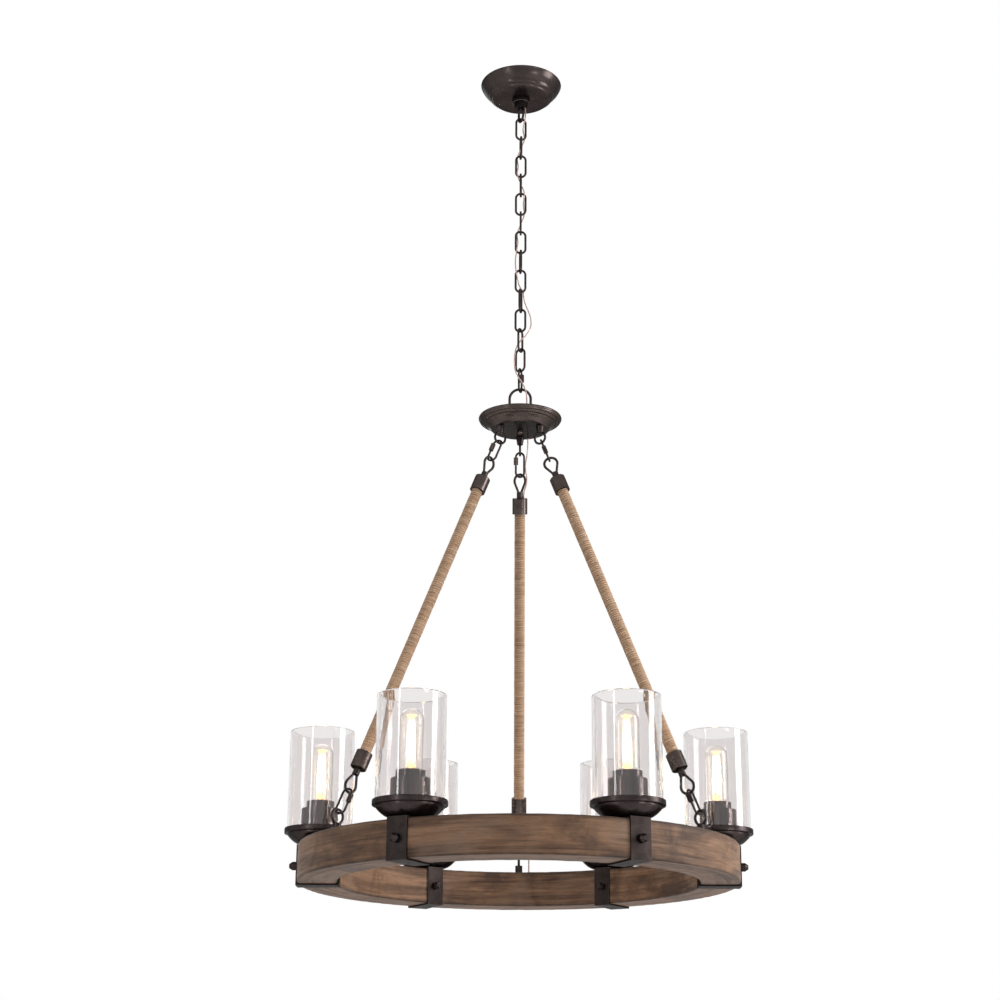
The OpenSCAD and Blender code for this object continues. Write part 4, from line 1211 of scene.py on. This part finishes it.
    def build(self) -> list[bpy.types.Object]:
        """Make the cord in stretches cut at levels down the chain, and hang the lowest two on the back rod
        and the ring.

        Returns:
            The stretches, from the ceiling down.
        """
        path = self.route()
        rings = self.rings(path)
        along = np.concatenate([[0.0], np.cumsum(np.linalg.norm(np.diff(path, axis=0), axis=1))])
        LOG.info("lamp cord: %.3f m of route", along[-1])
        links = [f"chain_link_{i:02d}" for i in range(1, LINKS + 1)]
        bodies = ["ceiling", *links, "chain_quick_link", "hub"]
        levels = [path[0][2], *(self.chain_mid - self.pitch * i for i in range(LINKS)), self.quick_mid,
                  self.bail_mid, self.jute_top, self.jute_low]
        *cuts, top, low = (int(np.argmin(np.abs(path[:, 2] - z))) for z in levels)
        made = []
        for i, (parent, child) in enumerate(zip(bodies, bodies[1:])):
            piece = self.stretch(f"lamp_cord_{i:02d}", rings, along, cuts[i], cuts[i + 1])
            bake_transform(piece)
            made.append(piece)
        hub = self.stretch("lamp_cord_hub", rings, along, cuts[-1], top)
        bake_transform(hub)
        rod = self.stretch("lamp_cord_rod", rings, along, top, low + 1)
        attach(rod, "rod_back")
        ring = self.stretch("lamp_cord_ring", rings, along, low, len(path) - 1)
        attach(ring, "ring")
        made += [hub, rod, ring]
        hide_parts("lamp_cord")
        return made


@dataclass
class CeilingSet:
    """Canopy, crossbar, nipple, collar and ring nut.

    The canopy's sizes are in millimetres. The points of its outline up to the start of its band, and its
    inner steps, are measured from the corner of its face. The others are measured from its rim.
    """

    finishes: Finishes
    rim_r: float = 64.0
    face_r: float = 45.5
    depth: float = 26.0
    hole_r: float = 11.0
    wall: float = 1.2
    flat_end: Profile = ((-9.0, 0.0),)
    edge: Bulge = Bulge((-2.2, 0.0), (0.4, 1.5), 0.4, 4)
    crease: Profile = ((0.7, 2.3),)
    bead: Bulge = Bulge((1.5, 3.0), (6.7, 8.8), 1.1, 8)
    ledge: Profile = ((6.9, 9.4), (7.7, 9.8))
    band: Bulge = Bulge((8.5, 10.4), (-0.7, -3.3), 0.9, 10)
    rim_crease: Profile = ((-0.8, -2.8),)
    lip: Bulge = Bulge((-0.6, -2.5), (-0.6, -0.2), 0.6, 6)
    inner_rim: Profile = ((-2.2, -0.2), (-2.2, -2.8))
    inner_steps: Profile = ((6.5, 11.0), (5.0, 9.2), (0.2, 3.4))
    inner_edge: float = -1.8

    def cover(self) -> bpy.types.Object:
        """Make the canopy: a flat face, a rounded bead, a domed band and a rolled lip.

        Returns:
            The canopy.
        """
        face, rim = (self.face_r, -self.depth), (self.rim_r, 0.0)
        inner_face = self.wall - self.depth
        outer = [(self.hole_r, -self.depth), *shifted(self.flat_end, face), *self.edge.points(face),
                 *shifted(self.crease, face), *self.bead.points(face), *shifted(self.ledge, face),
                 *self.band.points(face, rim), *shifted(self.rim_crease, rim), *self.lip.points(rim)]
        inner = [*shifted(self.inner_rim, rim), *shifted(self.inner_steps, face),
                 (self.face_r + self.inner_edge, inner_face), (self.hole_r, inner_face)]
        piece = spun("canopy_cover", outer, inner, self.finishes.canopy)
        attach(piece, "canopy")
        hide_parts("canopy")
        return piece

    def build(self) -> list[str]:
        """Make the canopy and dress the nodes.

        Returns:
            Their names.
        """
        self.cover()
        fixings = ["ceiling_crossbar", "canopy_nipple", "nipple_locknut"]
        dress(["collar_nut"], self.finishes.canopy)
        dress(["collar_loop"], self.finishes.wire)
        dress(fixings, self.finishes.steel)
        return ["canopy", "collar_nut", "collar_loop", *fixings]


@dataclass
class Chain:
    """Oval links, and the quick link that holds the hub's bail."""

    finishes: Finishes

    def build(self) -> list[str]:
        """Dress the nodes.

        Returns:
            Their names.
        """
        wires = [*(f"chain_link_{i:02d}" for i in range(1, LINKS + 1)), "chain_quick_link"]
        dress(wires, self.finishes.wire)
        dress(["chain_quick_nut"], self.finishes.bronze)
        return [*wires, "chain_quick_nut"]


@dataclass
class Hub:
    """Stepped pan with its cover, bail, centre screw, eyes and upper quick links.

    The pan's sizes are in millimetres, apart from the height of its rim. The points of its outline up to
    the start of its slope, and its inner slope, are measured from the corner of its face. The others are
    measured from its rim.
    """

    finishes: Finishes
    rim_z: float = -569.65 * MM
    rim_r: float = 63.0
    depth: float = 20.0
    face_r: float = 40.3
    hole_r: float = 2.6
    wall: float = 1.4
    flat_end: Profile = ((-9.0, 0.0),)
    edge: Bulge = Bulge((-0.6, 0.0), (3.6, 1.7), 0.5, 5)
    slope: Bulge = Bulge((4.2, 2.2), (-11.9, -11.2), -0.7, 6)
    creases: Profile = ((-11.0, -10.1), (-5.6, -6.8), (-1.5, -4.3))
    beads: tuple[Bulge, ...] = (
        Bulge((-10.4, -9.5), (-5.9, -7.3), 1.0, 7), Bulge((-5.1, -6.4), (-1.6, -4.8), 1.0, 7),
        Bulge((-1.0, -3.9), (-0.7, -0.3), 0.7, 7))
    lip: Profile = ((-0.9, 0.0),)
    inner_rim: Profile = ((-1.4, 0.0), (-1.45, -2.7), (-6.2, -5.0), (-10.8, -7.4), (-12.9, -10.6))
    inner_slope: Profile = ((2.6, 2.9),)
    inner_edge: float = -0.8

    def pan(self) -> bpy.types.Object:
        """Make the pan: a flat face, a sloping side and three rounded beads up to the rim.

        Returns:
            The pan.
        """
        face, rim = (self.face_r, -self.depth), (self.rim_r, 0.0)
        inner_face = self.wall - self.depth
        outer = [(self.hole_r, -self.depth), *shifted(self.flat_end, face), *self.edge.points(face),
                 *self.slope.points(face, rim)[1:]]
        for crease, bead in zip(self.creases, self.beads):
            outer += [*shifted([crease], rim), *bead.points(rim)]
        outer += shifted(self.lip, rim)
        inner = [*shifted(self.inner_rim, rim), *shifted(self.inner_slope, face),
                 (self.face_r + self.inner_edge, inner_face), (self.hole_r, inner_face)]
        piece = spun("hub_dish", outer, inner, self.finishes.painted)
        piece.matrix_world = Matrix.Translation((0.0, 0.0, self.rim_z))
        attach(piece, "hub")
        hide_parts("hub_pan")
        return piece

    def build(self) -> list[str]:
        """Make the pan and dress the nodes.

        Returns:
            Their names.
        """
        self.pan()
        covers = ["hub_cover", "hub_screw", "upper_quick_nuts"]
        wires = ["hub_bail", "hub_eyes", "upper_quick_links"]
        dress(covers, self.finishes.painted)
        dress(wires, self.finishes.wire)
        dress(["hub_nuts"], self.finishes.steel)
        return ["hub_pan", *covers, *wires, "hub_nuts"]


@dataclass
class HangingRod:
    """Tube wound with jute twine between two caps with pear shaped eyes."""

    finishes: Finishes
    side: Side
    jute_r: float = 8.3 * MM
    sunk: float = 0.12 * MM
    turn_pitch: float = 3.5 * MM
    groove: float = 0.75 * MM
    start: float = 95.5 * MM
    end: float = 543.5 * MM
    columns: int = 40
    rows: int = 8
    clumps: int = 8
    lean: float = 0.05
    lean_reach: int = 3
    swell: float = 0.16 * MM
    swell_reach: int = 5
    map_inset: float = 1e-4
    sharp: float = 80.0

    def axis(self) -> Matrix:
        """Place the rod's own frame, with Z down the rod from the hub's eye.

        Returns:
            The matrix from that frame.
        """
        azimuth = math.radians(self.side.value)
        out = Vector((math.cos(azimuth), math.sin(azimuth), 0.0))
        down = out * math.sin(ROD_TILT) - Vector((0, 0, math.cos(ROD_TILT)))
        side = Vector((-out.y, out.x, 0.0))
        turn = Matrix((side, down.cross(side), down)).transposed().to_4x4()
        return Matrix.Translation(out * ROD_EYE_R + Vector((0, 0, ROD_EYE_Z))) @ turn

    def uneven(self, rng: np.random.Generator, size: float, reach: int, turns: int) -> np.ndarray:
        """Return random numbers along the twine, smoothed.

        Args:
            rng: The source of the numbers.
            size: How much they vary.
            reach: How many neighbours are averaged.
            turns: Turns of the twine.

        Returns:
            The numbers, some for each turn.
        """
        return np.convolve(rng.normal(0.0, size, turns * self.clumps), np.ones(reach) / reach, "same")

    def twine_points(self, count: int) -> list[Point]:
        """Return the twine's points in the rod's own frame: rows that climb, with one string to each turn.

        Args:
            count: The number of rows.

        Returns:
            The points, row by row.
        """
        rng = np.random.default_rng(int(self.side.value))
        turns = count // self.rows + 3
        lean = self.uneven(rng, self.lean, self.lean_reach, turns)
        swell = self.uneven(rng, self.swell, self.swell_reach, turns)
        points = []
        for i in range(count + 1):
            wind = i / self.rows
            crest = math.sqrt(max(0.0, 1.0 - (2.0 * (wind % 1.0) - 1.0) ** 2))
            for j in range(self.columns):
                around = j / self.columns
                string = (math.floor(wind) + around) * self.clumps
                low = int(string)
                part = string - low
                leant, grown = (some[low % len(some)] * (1 - part) + some[(low + 1) % len(some)] * part
                                for some in (lean, swell))
                radius = self.jute_r - self.sunk - self.groove * (1.0 - crest) + grown * crest
                height = self.start + (wind + around + leant * crest) * self.turn_pitch
                turn = math.tau * around
                points.append((radius * math.cos(turn), radius * math.sin(turn), height))
        return points

    def wind(self, name: str) -> bpy.types.Object:
        """Make the wound jute.

        Args:
            name: The piece's name.

        Returns:
            The piece.
        """
        count = int((self.end - self.start) / self.turn_pitch * self.rows)
        n, inset = self.columns, self.map_inset
        faces, uvs = [], []
        for i in range(count - self.rows):
            low, high = i / self.rows + inset, (i + 1) / self.rows - inset
            for j in range(n):
                right, above = i * n + j + 1, (i + 1) * n + j + 1
                if j == n - 1:
                    right, above = (i + self.rows) * n, (i + self.rows + 1) * n
                faces.append([i * n + j, right, above, (i + 1) * n + j])
                uvs += [(low, j / n), (low, (j + 1) / n), (high, (j + 1) / n), (high, j / n)]
        points = self.twine_points(count)
        piece = make_piece(name, points, faces, self.finishes.jute, Slot.JUTE, uvs, self.sharp)
        piece.data.transform(self.axis())
        return piece

    def build(self) -> list[bpy.types.Object]:
        """Wind the jute and dress the rod's nodes.

        Returns:
            The new pieces.
        """
        rod = f"rod_{self.side.name.lower()}"
        jute = self.wind(f"{rod}_twine")
        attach(jute, rod)
        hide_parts(f"{rod}_jute")
        dress([f"{rod}_caps"], self.finishes.painted)
        dress([f"{rod}_eyes"], self.finishes.wire)
        dress([f"{rod}_tube"], self.finishes.steel)
        return [jute]


@dataclass
class WoodRing:
    """Six curved wooden segments under straps with bolts, and the three eyes on top.

    A mark tells how near the edge a point of the cross-section is. Each flat mark stands at its share
    of the way from one rounded corner to the next.
    """

    finishes: Finishes
    outer_r: float = 310 * MM
    inner_r: float = 254 * MM
    top: float = WOOD_TOP
    bottom: float = -1270 * MM
    corner: float = 2.2 * MM
    gap: float = 0.3 * MM
    segments: int = 6
    steps: int = 58
    corner_marks: tuple[float, ...] = (0.55, 0.95, 1.0, 0.95, 0.55)
    flat_marks: tuple[Spot, ...] = (
        (0.045, 0.12), (0.12, 0.0), (0.3, 0.0), (0.5, 0.0), (0.7, 0.0), (0.88, 0.0), (0.955, 0.12))
    first_seed: int = 100
    uneven: float = 0.28 * MM
    edge_uneven: float = 1.2
    waves: int = 7
    wave_turns: Spot = (0.5, 9.0)
    wave_sizes: Spot = (0.2, 1.0)
    wave_rate: int = 12
    wave_sum: float = 4.2
    chip_mark: float = 0.9
    chip_chance: float = 0.05
    chip: float = 0.5 * MM
    side_power: int = 8

    def outline(self) -> tuple[list[Spot], list[float]]:
        """Draw the cross-section.

        Returns:
            The radius and height of each point, and each point's mark.
        """
        c, steps = self.corner, len(self.corner_marks) - 1
        corners = [((self.outer_r - c, self.bottom + c), -90), ((self.outer_r - c, self.top - c), 0),
                   ((self.inner_r + c, self.top - c), 90), ((self.inner_r + c, self.bottom + c), 180)]
        turns = [arc(centre, c, start, start + 90, steps) for centre, start in corners]
        points: list[Spot] = []
        marks: list[float] = []
        for turn, follow in zip(turns, turns[1:] + turns[:1]):
            points += turn
            marks += self.corner_marks
            (r, z), (next_r, next_z) = turn[-1], follow[0]
            for share, mark in self.flat_marks:
                points.append((r + (next_r - r) * share, z + (next_z - z) * share))
                marks.append(mark)
        return points, marks

    def worn_points(self, index: int, outline: Profile, marks: Sequence[float]) -> list[Point]:
        """Sweep the cross-section along a segment, sunk unevenly and chipped along its edges.

        Args:
            index: The segment's number, from 0.
            outline: Radius and height of the cross-section's points.
            marks: How near an edge each of them is.

        Returns:
            The points, one cross-section after the other.
        """
        rng = np.random.default_rng(self.first_seed + index)
        waves = [(rng.uniform(*self.wave_turns), rng.uniform(0, math.tau), rng.uniform(*self.wave_sizes),
                  rng.uniform(0, math.tau)) for _ in range(self.waves)]
        middle_r, half_w = (self.outer_r + self.inner_r) / 2, (self.outer_r - self.inner_r) / 2
        middle_z, half_h = (self.top + self.bottom) / 2, (self.top - self.bottom) / 2
        span = math.tau / self.segments
        inset = self.gap / 2 / self.outer_r
        points = []
        for i in range(self.steps + 1):
            angle = index * span + inset + (span - 2 * inset) * i / self.steps
            for k, ((radius, height), mark) in enumerate(zip(outline, marks)):
                around, along = math.tau * k / len(outline), self.wave_rate * angle
                wave = sum(size * math.sin(rate * along + phase + around * (1 + q % 3) + lean)
                           for q, (rate, phase, size, lean) in enumerate(waves)) / self.wave_sum
                depth = 0.5 + 0.5 * max(-1.0, min(1.0, wave))
                sink = self.uneven * depth * (1.0 + self.edge_uneven * mark)
                if mark > self.chip_mark and rng.random() < self.chip_chance:
                    sink += self.chip
                off_r, off_z = radius - middle_r, height - middle_z
                r = radius - math.copysign(sink * min(1.0, abs(off_r) / half_w) ** self.side_power, off_r)
                z = height - math.copysign(sink * min(1.0, abs(off_z) / half_h) ** self.side_power, off_z)
                points.append((r * math.cos(angle), r * math.sin(angle), z))
        return points

    def segment(self, index: int) -> bpy.types.Object:
        """Make one segment.

        Args:
            index: Its number, from 0.

        Returns:
            The segment.
        """
        outline, marks = self.outline()
        n = len(outline)
        faces = []
        for i in range(self.steps):
            for k in range(n):
                m = (k + 1) % n
                faces.append([i * n + m, (i + 1) * n + m, (i + 1) * n + k, i * n + k])
        faces.append(list(range(n))[::-1])
        faces.append([self.steps * n + k for k in range(n)])
        piece = make_piece(f"ring_segment_{index + 1}", self.worn_points(index, outline, marks), faces,
                           self.finishes.wood, Slot.WOOD)
        mark = piece.data.attributes.new("edge", "FLOAT", "POINT")
        mark.data.foreach_set("value", np.tile(np.array(marks, np.float32), self.steps + 1))
        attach(piece, "ring")
        return piece

    def build(self) -> list[bpy.types.Object]:
        """Make the segments and dress the iron.

        Returns:
            The segments.
        """
        made = [self.segment(i) for i in range(self.segments)]
        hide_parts("ring_segments")
        dress(["ring_straps", "strap_bolts", "strap_nuts", "lower_quick_nuts"], self.finishes.flat)
        dress(["ring_eyes", "lower_quick_links"], self.finishes.wire)
        return made


@dataclass
class Lamp:
    """Cup, holder, sleeve, glass cylinder and a lit tubular bulb, on the ring at one azimuth.

    The cup's shape, the cap's contact and the stem's flare are in millimetres, and all else is in metres.
    The stem's tip is its radius below and above the upper disc, and its height over it.
    """

    finishes: Finishes
    index: int
    cup_low: float = 2.3 * MM
    cup_r: float = 49.5
    cup_h: float = 24.0
    cup_hole_r: float = 4.9
    cup_wall: float = 1.5
    cup_foot_r: float = 15.0
    cup_bowl: Bulge = Bulge((22.6, 0.0), (43.8, 13.0), 2.2, 14)
    cup_ledge: Profile = ((44.1, 14.6), (44.3, 16.2), (44.7, 16.5), (47.9, 16.5))
    cup_step_round: float = 1.1
    cup_step_h: float = 17.6
    cup_steps: tuple[int, int] = (5, 8)
    cup_inside: Profile = (
        (48.0, 18.7), (47.2, 18.0), (42.8, 18.0), (42.0, 14.5), (38.5, 11.0), (29.5, 5.0), (21.5, 1.5))
    shade_low: float = 20.4 * MM
    shade_h: float = 145 * MM
    shade_r: float = 46 * MM
    shade_wall: float = 3 * MM
    shade_hole_r: float = 19 * MM
    shade_corner: float = 4 * MM
    shade_hem: float = 0.4 * MM
    shade_foot: float = 8 * MM
    shade_break: float = 0.1 * MM
    shade_inner_share: float = 0.7
    shade_shares: tuple[float, ...] = (0.1, 0.3, 0.5, 0.7, 0.9)
    shade_sides: int = 96
    shade_steps: tuple[int, ...] = (8, 10, 6)
    bulb_low: float = 34.25 * MM
    cap_low: float = 1.5 * MM
    cap_h: float = 24 * MM
    cap_r: float = 13 * MM
    cap_lap: float = 3 * MM
    cap_gap: float = 0.05 * MM
    cap_sharp: float = 60.0
    cap_contact: Profile = ((0.0, -4.0), (2.6, -4.0), (4.0, -3.4), (4.6, -1.2), (7.5, -0.4), (11.4, 0.6))
    thread_turns: int = 5
    thread_rows: int = 70
    thread_share: float = 0.075
    thread_fades: tuple[int, int] = (6, 5)
    neck_r: float = 12.4 * MM
    neck_down: float = 3.2 * MM
    neck_floor_share: float = 0.6
    neck_corner: float = 0.5 * MM
    bulb_r: float = 16 * MM
    bulb_l: float = 89 * MM
    bulb_wall: float = 0.7 * MM
    bulb_sides: int = 64
    crown_steps: int = 14
    flare: float = 12 * MM
    flare_steps: int = 8
    tube_shares: tuple[float, ...] = (0.25, 0.5, 0.75)
    strip_ring_r: float = 5.5 * MM
    strip_lean: float = 0.45
    strip_r: float = 0.9 * MM
    strip_low: float = 12 * MM
    strip_top: float = 9 * MM
    strips: int = 4
    strip_sides: int = 16
    strip_inset: float = 0.5 * MM
    strip_end_turn: int = 60
    strip_end_steps: int = 3
    strip_shares: tuple[float, ...] = (0.15, 0.3, 0.45, 0.6, 0.75, 0.9)
    disc_r: float = 7 * MM
    disc_h: float = 1 * MM
    disc_round: float = 0.3 * MM
    stem_r: float = 1.5 * MM
    stem_sides: int = 32
    stem_foot: float = 2 * MM
    stem_flare: Profile = ((0.0, 0.0), (6.5, 0.0), (7.0, 0.8), (4.5, 4.0), (2.6, 9.0))
    stem_tip: tuple[float, ...] = (1.3 * MM, 1.0 * MM, 0.6 * MM)

    @property
    def strip_span(self) -> Spot:
        """Heights at which the discs hold the strips, above the bulb's foot."""
        return self.cap_h + self.strip_low, self.cap_h + self.bulb_l - self.strip_top

    def centre(self, height: float) -> Matrix:
        """Return the matrix that sets a piece on the lamp's axis.

        Args:
            height: How far above the wood.

        Returns:
            The matrix.
        """
        angle = math.tau * self.index / LAMPS
        at = Vector((RING_R * math.cos(angle), RING_R * math.sin(angle), WOOD_TOP + height))
        return Matrix.Translation(at) @ Matrix.Rotation(angle, 4, "Z")

    def cup(self) -> bpy.types.Object:
        """Make the cup: a flat foot, a rounded bowl, a ledge and an upright rim with a rounded lip.

        Returns:
            The cup.
        """
        rim, lip, step = self.cup_r, self.cup_wall / 2, self.cup_step_round
        ledge_steps, lip_steps = self.cup_steps
        outer = [(self.cup_hole_r, 0.0), (self.cup_foot_r, 0.0), *self.cup_bowl.points(), *self.cup_ledge,
                 *arc((rim - step, self.cup_step_h), step, -90, 0, ledge_steps),
                 *arc((rim - lip, self.cup_h - lip), lip, 0, 180, lip_steps)]
        inner = [*self.cup_inside, (self.cup_hole_r, self.cup_wall)]
        piece = spun(f"lamp_{self.index + 1}_cup", outer, inner, self.finishes.bronze)
        piece.matrix_world = self.centre(self.cup_low)
        return piece

    def shade(self) -> bpy.types.Object:
        """Make the glass cylinder, with a rounded foot and a fire polished rim.

        Returns:
            The cylinder.
        """
        outer, wall, hole = self.shade_r, self.shade_wall, self.shade_hole_r
        c, inner_c = self.shade_corner, self.shade_corner - wall * self.shade_inner_share
        rise = [self.shade_h * share for share in self.shade_shares]
        foot = outer - c - self.shade_foot
        foot_steps, rim_steps, inner_steps = self.shade_steps
        outline = [(hole, wall / 2), (hole + self.shade_hem, self.shade_break), (hole + wall, 0.0)]
        outline += [(foot, 0.0), *arc((outer - c, c), c, -90, 0, foot_steps),
                    *((outer, height) for height in rise)]
        outline += arc((outer - wall / 2, self.shade_h - wall / 2), wall / 2, 0, 180, rim_steps)
        outline += [(outer - wall, height) for height in reversed(rise)]
        outline += arc((outer - wall - inner_c, wall + inner_c), inner_c, 0, -90, inner_steps)
        outline += [(foot, wall), (hole + wall, wall), (hole + self.shade_hem, wall - self.shade_break)]
        piece = make_piece(f"lamp_{self.index + 1}_shade", *lathe(outline, self.shade_sides),
                           self.finishes.glass, Slot.GLASS)
        piece.matrix_world = self.centre(self.shade_low)
        return piece

    def bulb_outline(self, inset: float) -> list[Spot]:
        """Return half of the bulb's outline, from the neck up to the crown.

        Args:
            inset: How much smaller all round.

        Returns:
            Radius and height of each point.
        """
        low, flare = self.cap_h - self.neck_down + inset, self.cap_h + self.flare
        neck, tube, crown = self.neck_r - inset, self.bulb_r - inset, self.cap_h + self.bulb_l - self.bulb_r
        outline = [(0.0, low), (neck * self.neck_floor_share, low), (neck, low + self.neck_corner),
                   (neck, self.cap_h)]
        for i in range(1, self.flare_steps + 1):
            share = i / self.flare_steps
            ease = 0.5 - 0.5 * math.cos(math.pi * share)
            outline.append((neck + (tube - neck) * ease, self.cap_h + self.flare * share))
        outline += [(tube, flare + (crown - flare) * share) for share in self.tube_shares]
        outline += arc((0.0, crown), tube, 0, 90, self.crown_steps)[:-1]
        outline.append((0.0, crown + tube))
        return outline

    def bulb_glass(self) -> bpy.types.Object:
        """Make the bulb's glass.

        Returns:
            The glass.
        """
        outer = lathe(self.bulb_outline(0.0), self.bulb_sides, closed=False)
        points, faces = lathe(self.bulb_outline(self.bulb_wall), self.bulb_sides, closed=False)
        inner = (points, [face[::-1] for face in faces])
        return make_piece(f"bulb_{self.index + 1}_glass", *join([outer, inner]),
                          self.finishes.bulb, Slot.BULB)

    def bulb_cap(self) -> bpy.types.Object:
        """Make the rolled screw cap and its contact.

        Returns:
            The cap.
        """
        low, high, lap = self.cap_low, self.cap_h, self.neck_r + self.cap_gap
        outline = [(radius * MM, height * MM) for radius, height in self.cap_contact]
        shares = [i / self.thread_rows for i in range(self.thread_rows + 1)]
        outline += [(self.cap_r, low + (high - low) * share) for share in shares]
        outline += [(lap, high), (lap, high - self.cap_lap), (0.0, high - self.cap_lap)]
        points, faces = lathe(outline, self.bulb_sides, closed=False)
        rolled = []
        for x, y, z in points:
            share = (z - low) / (high - low)
            factor = 1.0
            if abs(math.hypot(x, y) - self.cap_r) < SAME_R and 0.0 < share < 1.0:
                fade = min(1.0, share * self.thread_fades[0], (1 - share) * self.thread_fades[1])
                wave = 0.5 - 0.5 * math.cos(math.tau * share * self.thread_turns - math.atan2(y, x))
                factor -= self.thread_share * wave * fade
            rolled.append((x * factor, y * factor, z))
        return make_piece(f"bulb_{self.index + 1}_cap", rolled, faces,
                          self.finishes.cap, Slot.STEEL, sharp=self.cap_sharp)

    def bulb_strips(self) -> bpy.types.Object:
        """Make the four glowing strips with rounded ends, which lean towards each other at the top.

        Returns:
            The strips, in one piece.
        """
        low, high = self.strip_span[0] + self.strip_inset, self.strip_span[1] - self.strip_inset
        r, turn, steps = self.strip_r, self.strip_end_turn, self.strip_end_steps
        outline = [(0.0, low), *arc((0.0, low + r), r, -turn, 0, steps)]
        outline += [(r, low + (high - low) * share) for share in self.strip_shares]
        outline += [*arc((0.0, high - r), r, 0, turn, steps), (0.0, high)]
        points, faces = lathe(outline, self.strip_sides, closed=False)
        strips = []
        for angle in (math.tau * i / self.strips for i in range(self.strips)):
            bent = []
            for x, y, z in points:
                share = (z - low) / (high - low)
                away = self.strip_ring_r * (1.0 - self.strip_lean * share ** 2)
                bent.append((x + away * math.cos(angle), y + away * math.sin(angle), z))
            strips.append((bent, faces))
        return make_piece(f"bulb_{self.index + 1}_strips", *join(strips), self.finishes.filament, Slot.BULB)

    def disc(self, low: float, under: float, over: float) -> list[Spot]:
        """Return the outline of one disc on the stem.

        Args:
            low: Height of its lower side.
            under: Radius of the stem below it.
            over: Radius of the stem above it.

        Returns:
            Radius and height of each point, from below.
        """
        edge, high = self.disc_r - self.disc_round, low + self.disc_h
        return [(under, low), (edge, low), (self.disc_r, low + self.disc_h / 2), (edge, high), (over, high)]

    def bulb_stem(self) -> bpy.types.Object:
        """Make the glass stem, its flare in the neck and the two discs that hold the strips.

        Returns:
            The stem.
        """
        low, high = self.strip_span
        foot = self.cap_h - self.stem_foot
        under, over, tip = self.stem_tip
        outline = [(radius * MM, foot + height * MM) for radius, height in self.stem_flare]
        outline += [(self.stem_r, low - self.disc_h), *self.disc(low, self.stem_r, self.stem_r)]
        outline += [*self.disc(high - self.disc_h, under, over), (0.0, high + tip)]
        return make_piece(f"bulb_{self.index + 1}_stem", *lathe(outline, self.stem_sides, closed=False),
                          self.finishes.stem, Slot.BULB)

    def build(self) -> list[bpy.types.Object]:
        """Make the lamp's pieces.

        Returns:
            The pieces.
        """
        shade = self.shade()
        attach(shade, "ring")
        cup = self.cup()
        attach(cup, "ring")
        if self.index == 0:
            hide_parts("glass_shades")
            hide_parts("lamp_cups")
            dress(["socket_sleeves"], self.finishes.sleeve)
            dress(["lamp_nipples"], self.finishes.steel)
            dress(["lamp_holders"], self.finishes.ceramic)
        bulb = [self.bulb_glass(), self.bulb_cap(), self.bulb_strips(), self.bulb_stem()]
        for piece in bulb:
            piece.matrix_world = self.centre(self.bulb_low)
            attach(piece, f"bulb_{self.index + 1}")
        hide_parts(f"bulb_{self.index + 1}")
        return [cup, shade, *bulb]


def main() -> None:
    """Build the stage and the sub-assemblies in order, and report each."""
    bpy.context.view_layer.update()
    Studio().build()
    finishes = Finishes()
    builders: list[tuple[str, Callable[[], Sequence[Any]]]] = [
        ("lamp cord", LampCord(finishes).build),
        ("ceiling set", CeilingSet(finishes).build),
        ("chain", Chain(finishes).build),
        ("hub", Hub(finishes).build),
        *[(f"hanging rod {side.name.lower()}", HangingRod(finishes, side).build) for side in Side],
        ("wood ring", WoodRing(finishes).build),
        *[(f"lamp {i + 1}", Lamp(finishes, i).build) for i in range(LAMPS)],
    ]
    for label, build in builders:
        LOG.info("%s: %d pieces", label, len(build()))


if __name__ == "__main__":
    logging.basicConfig(level=logging.INFO, format="%(message)s")
    main()
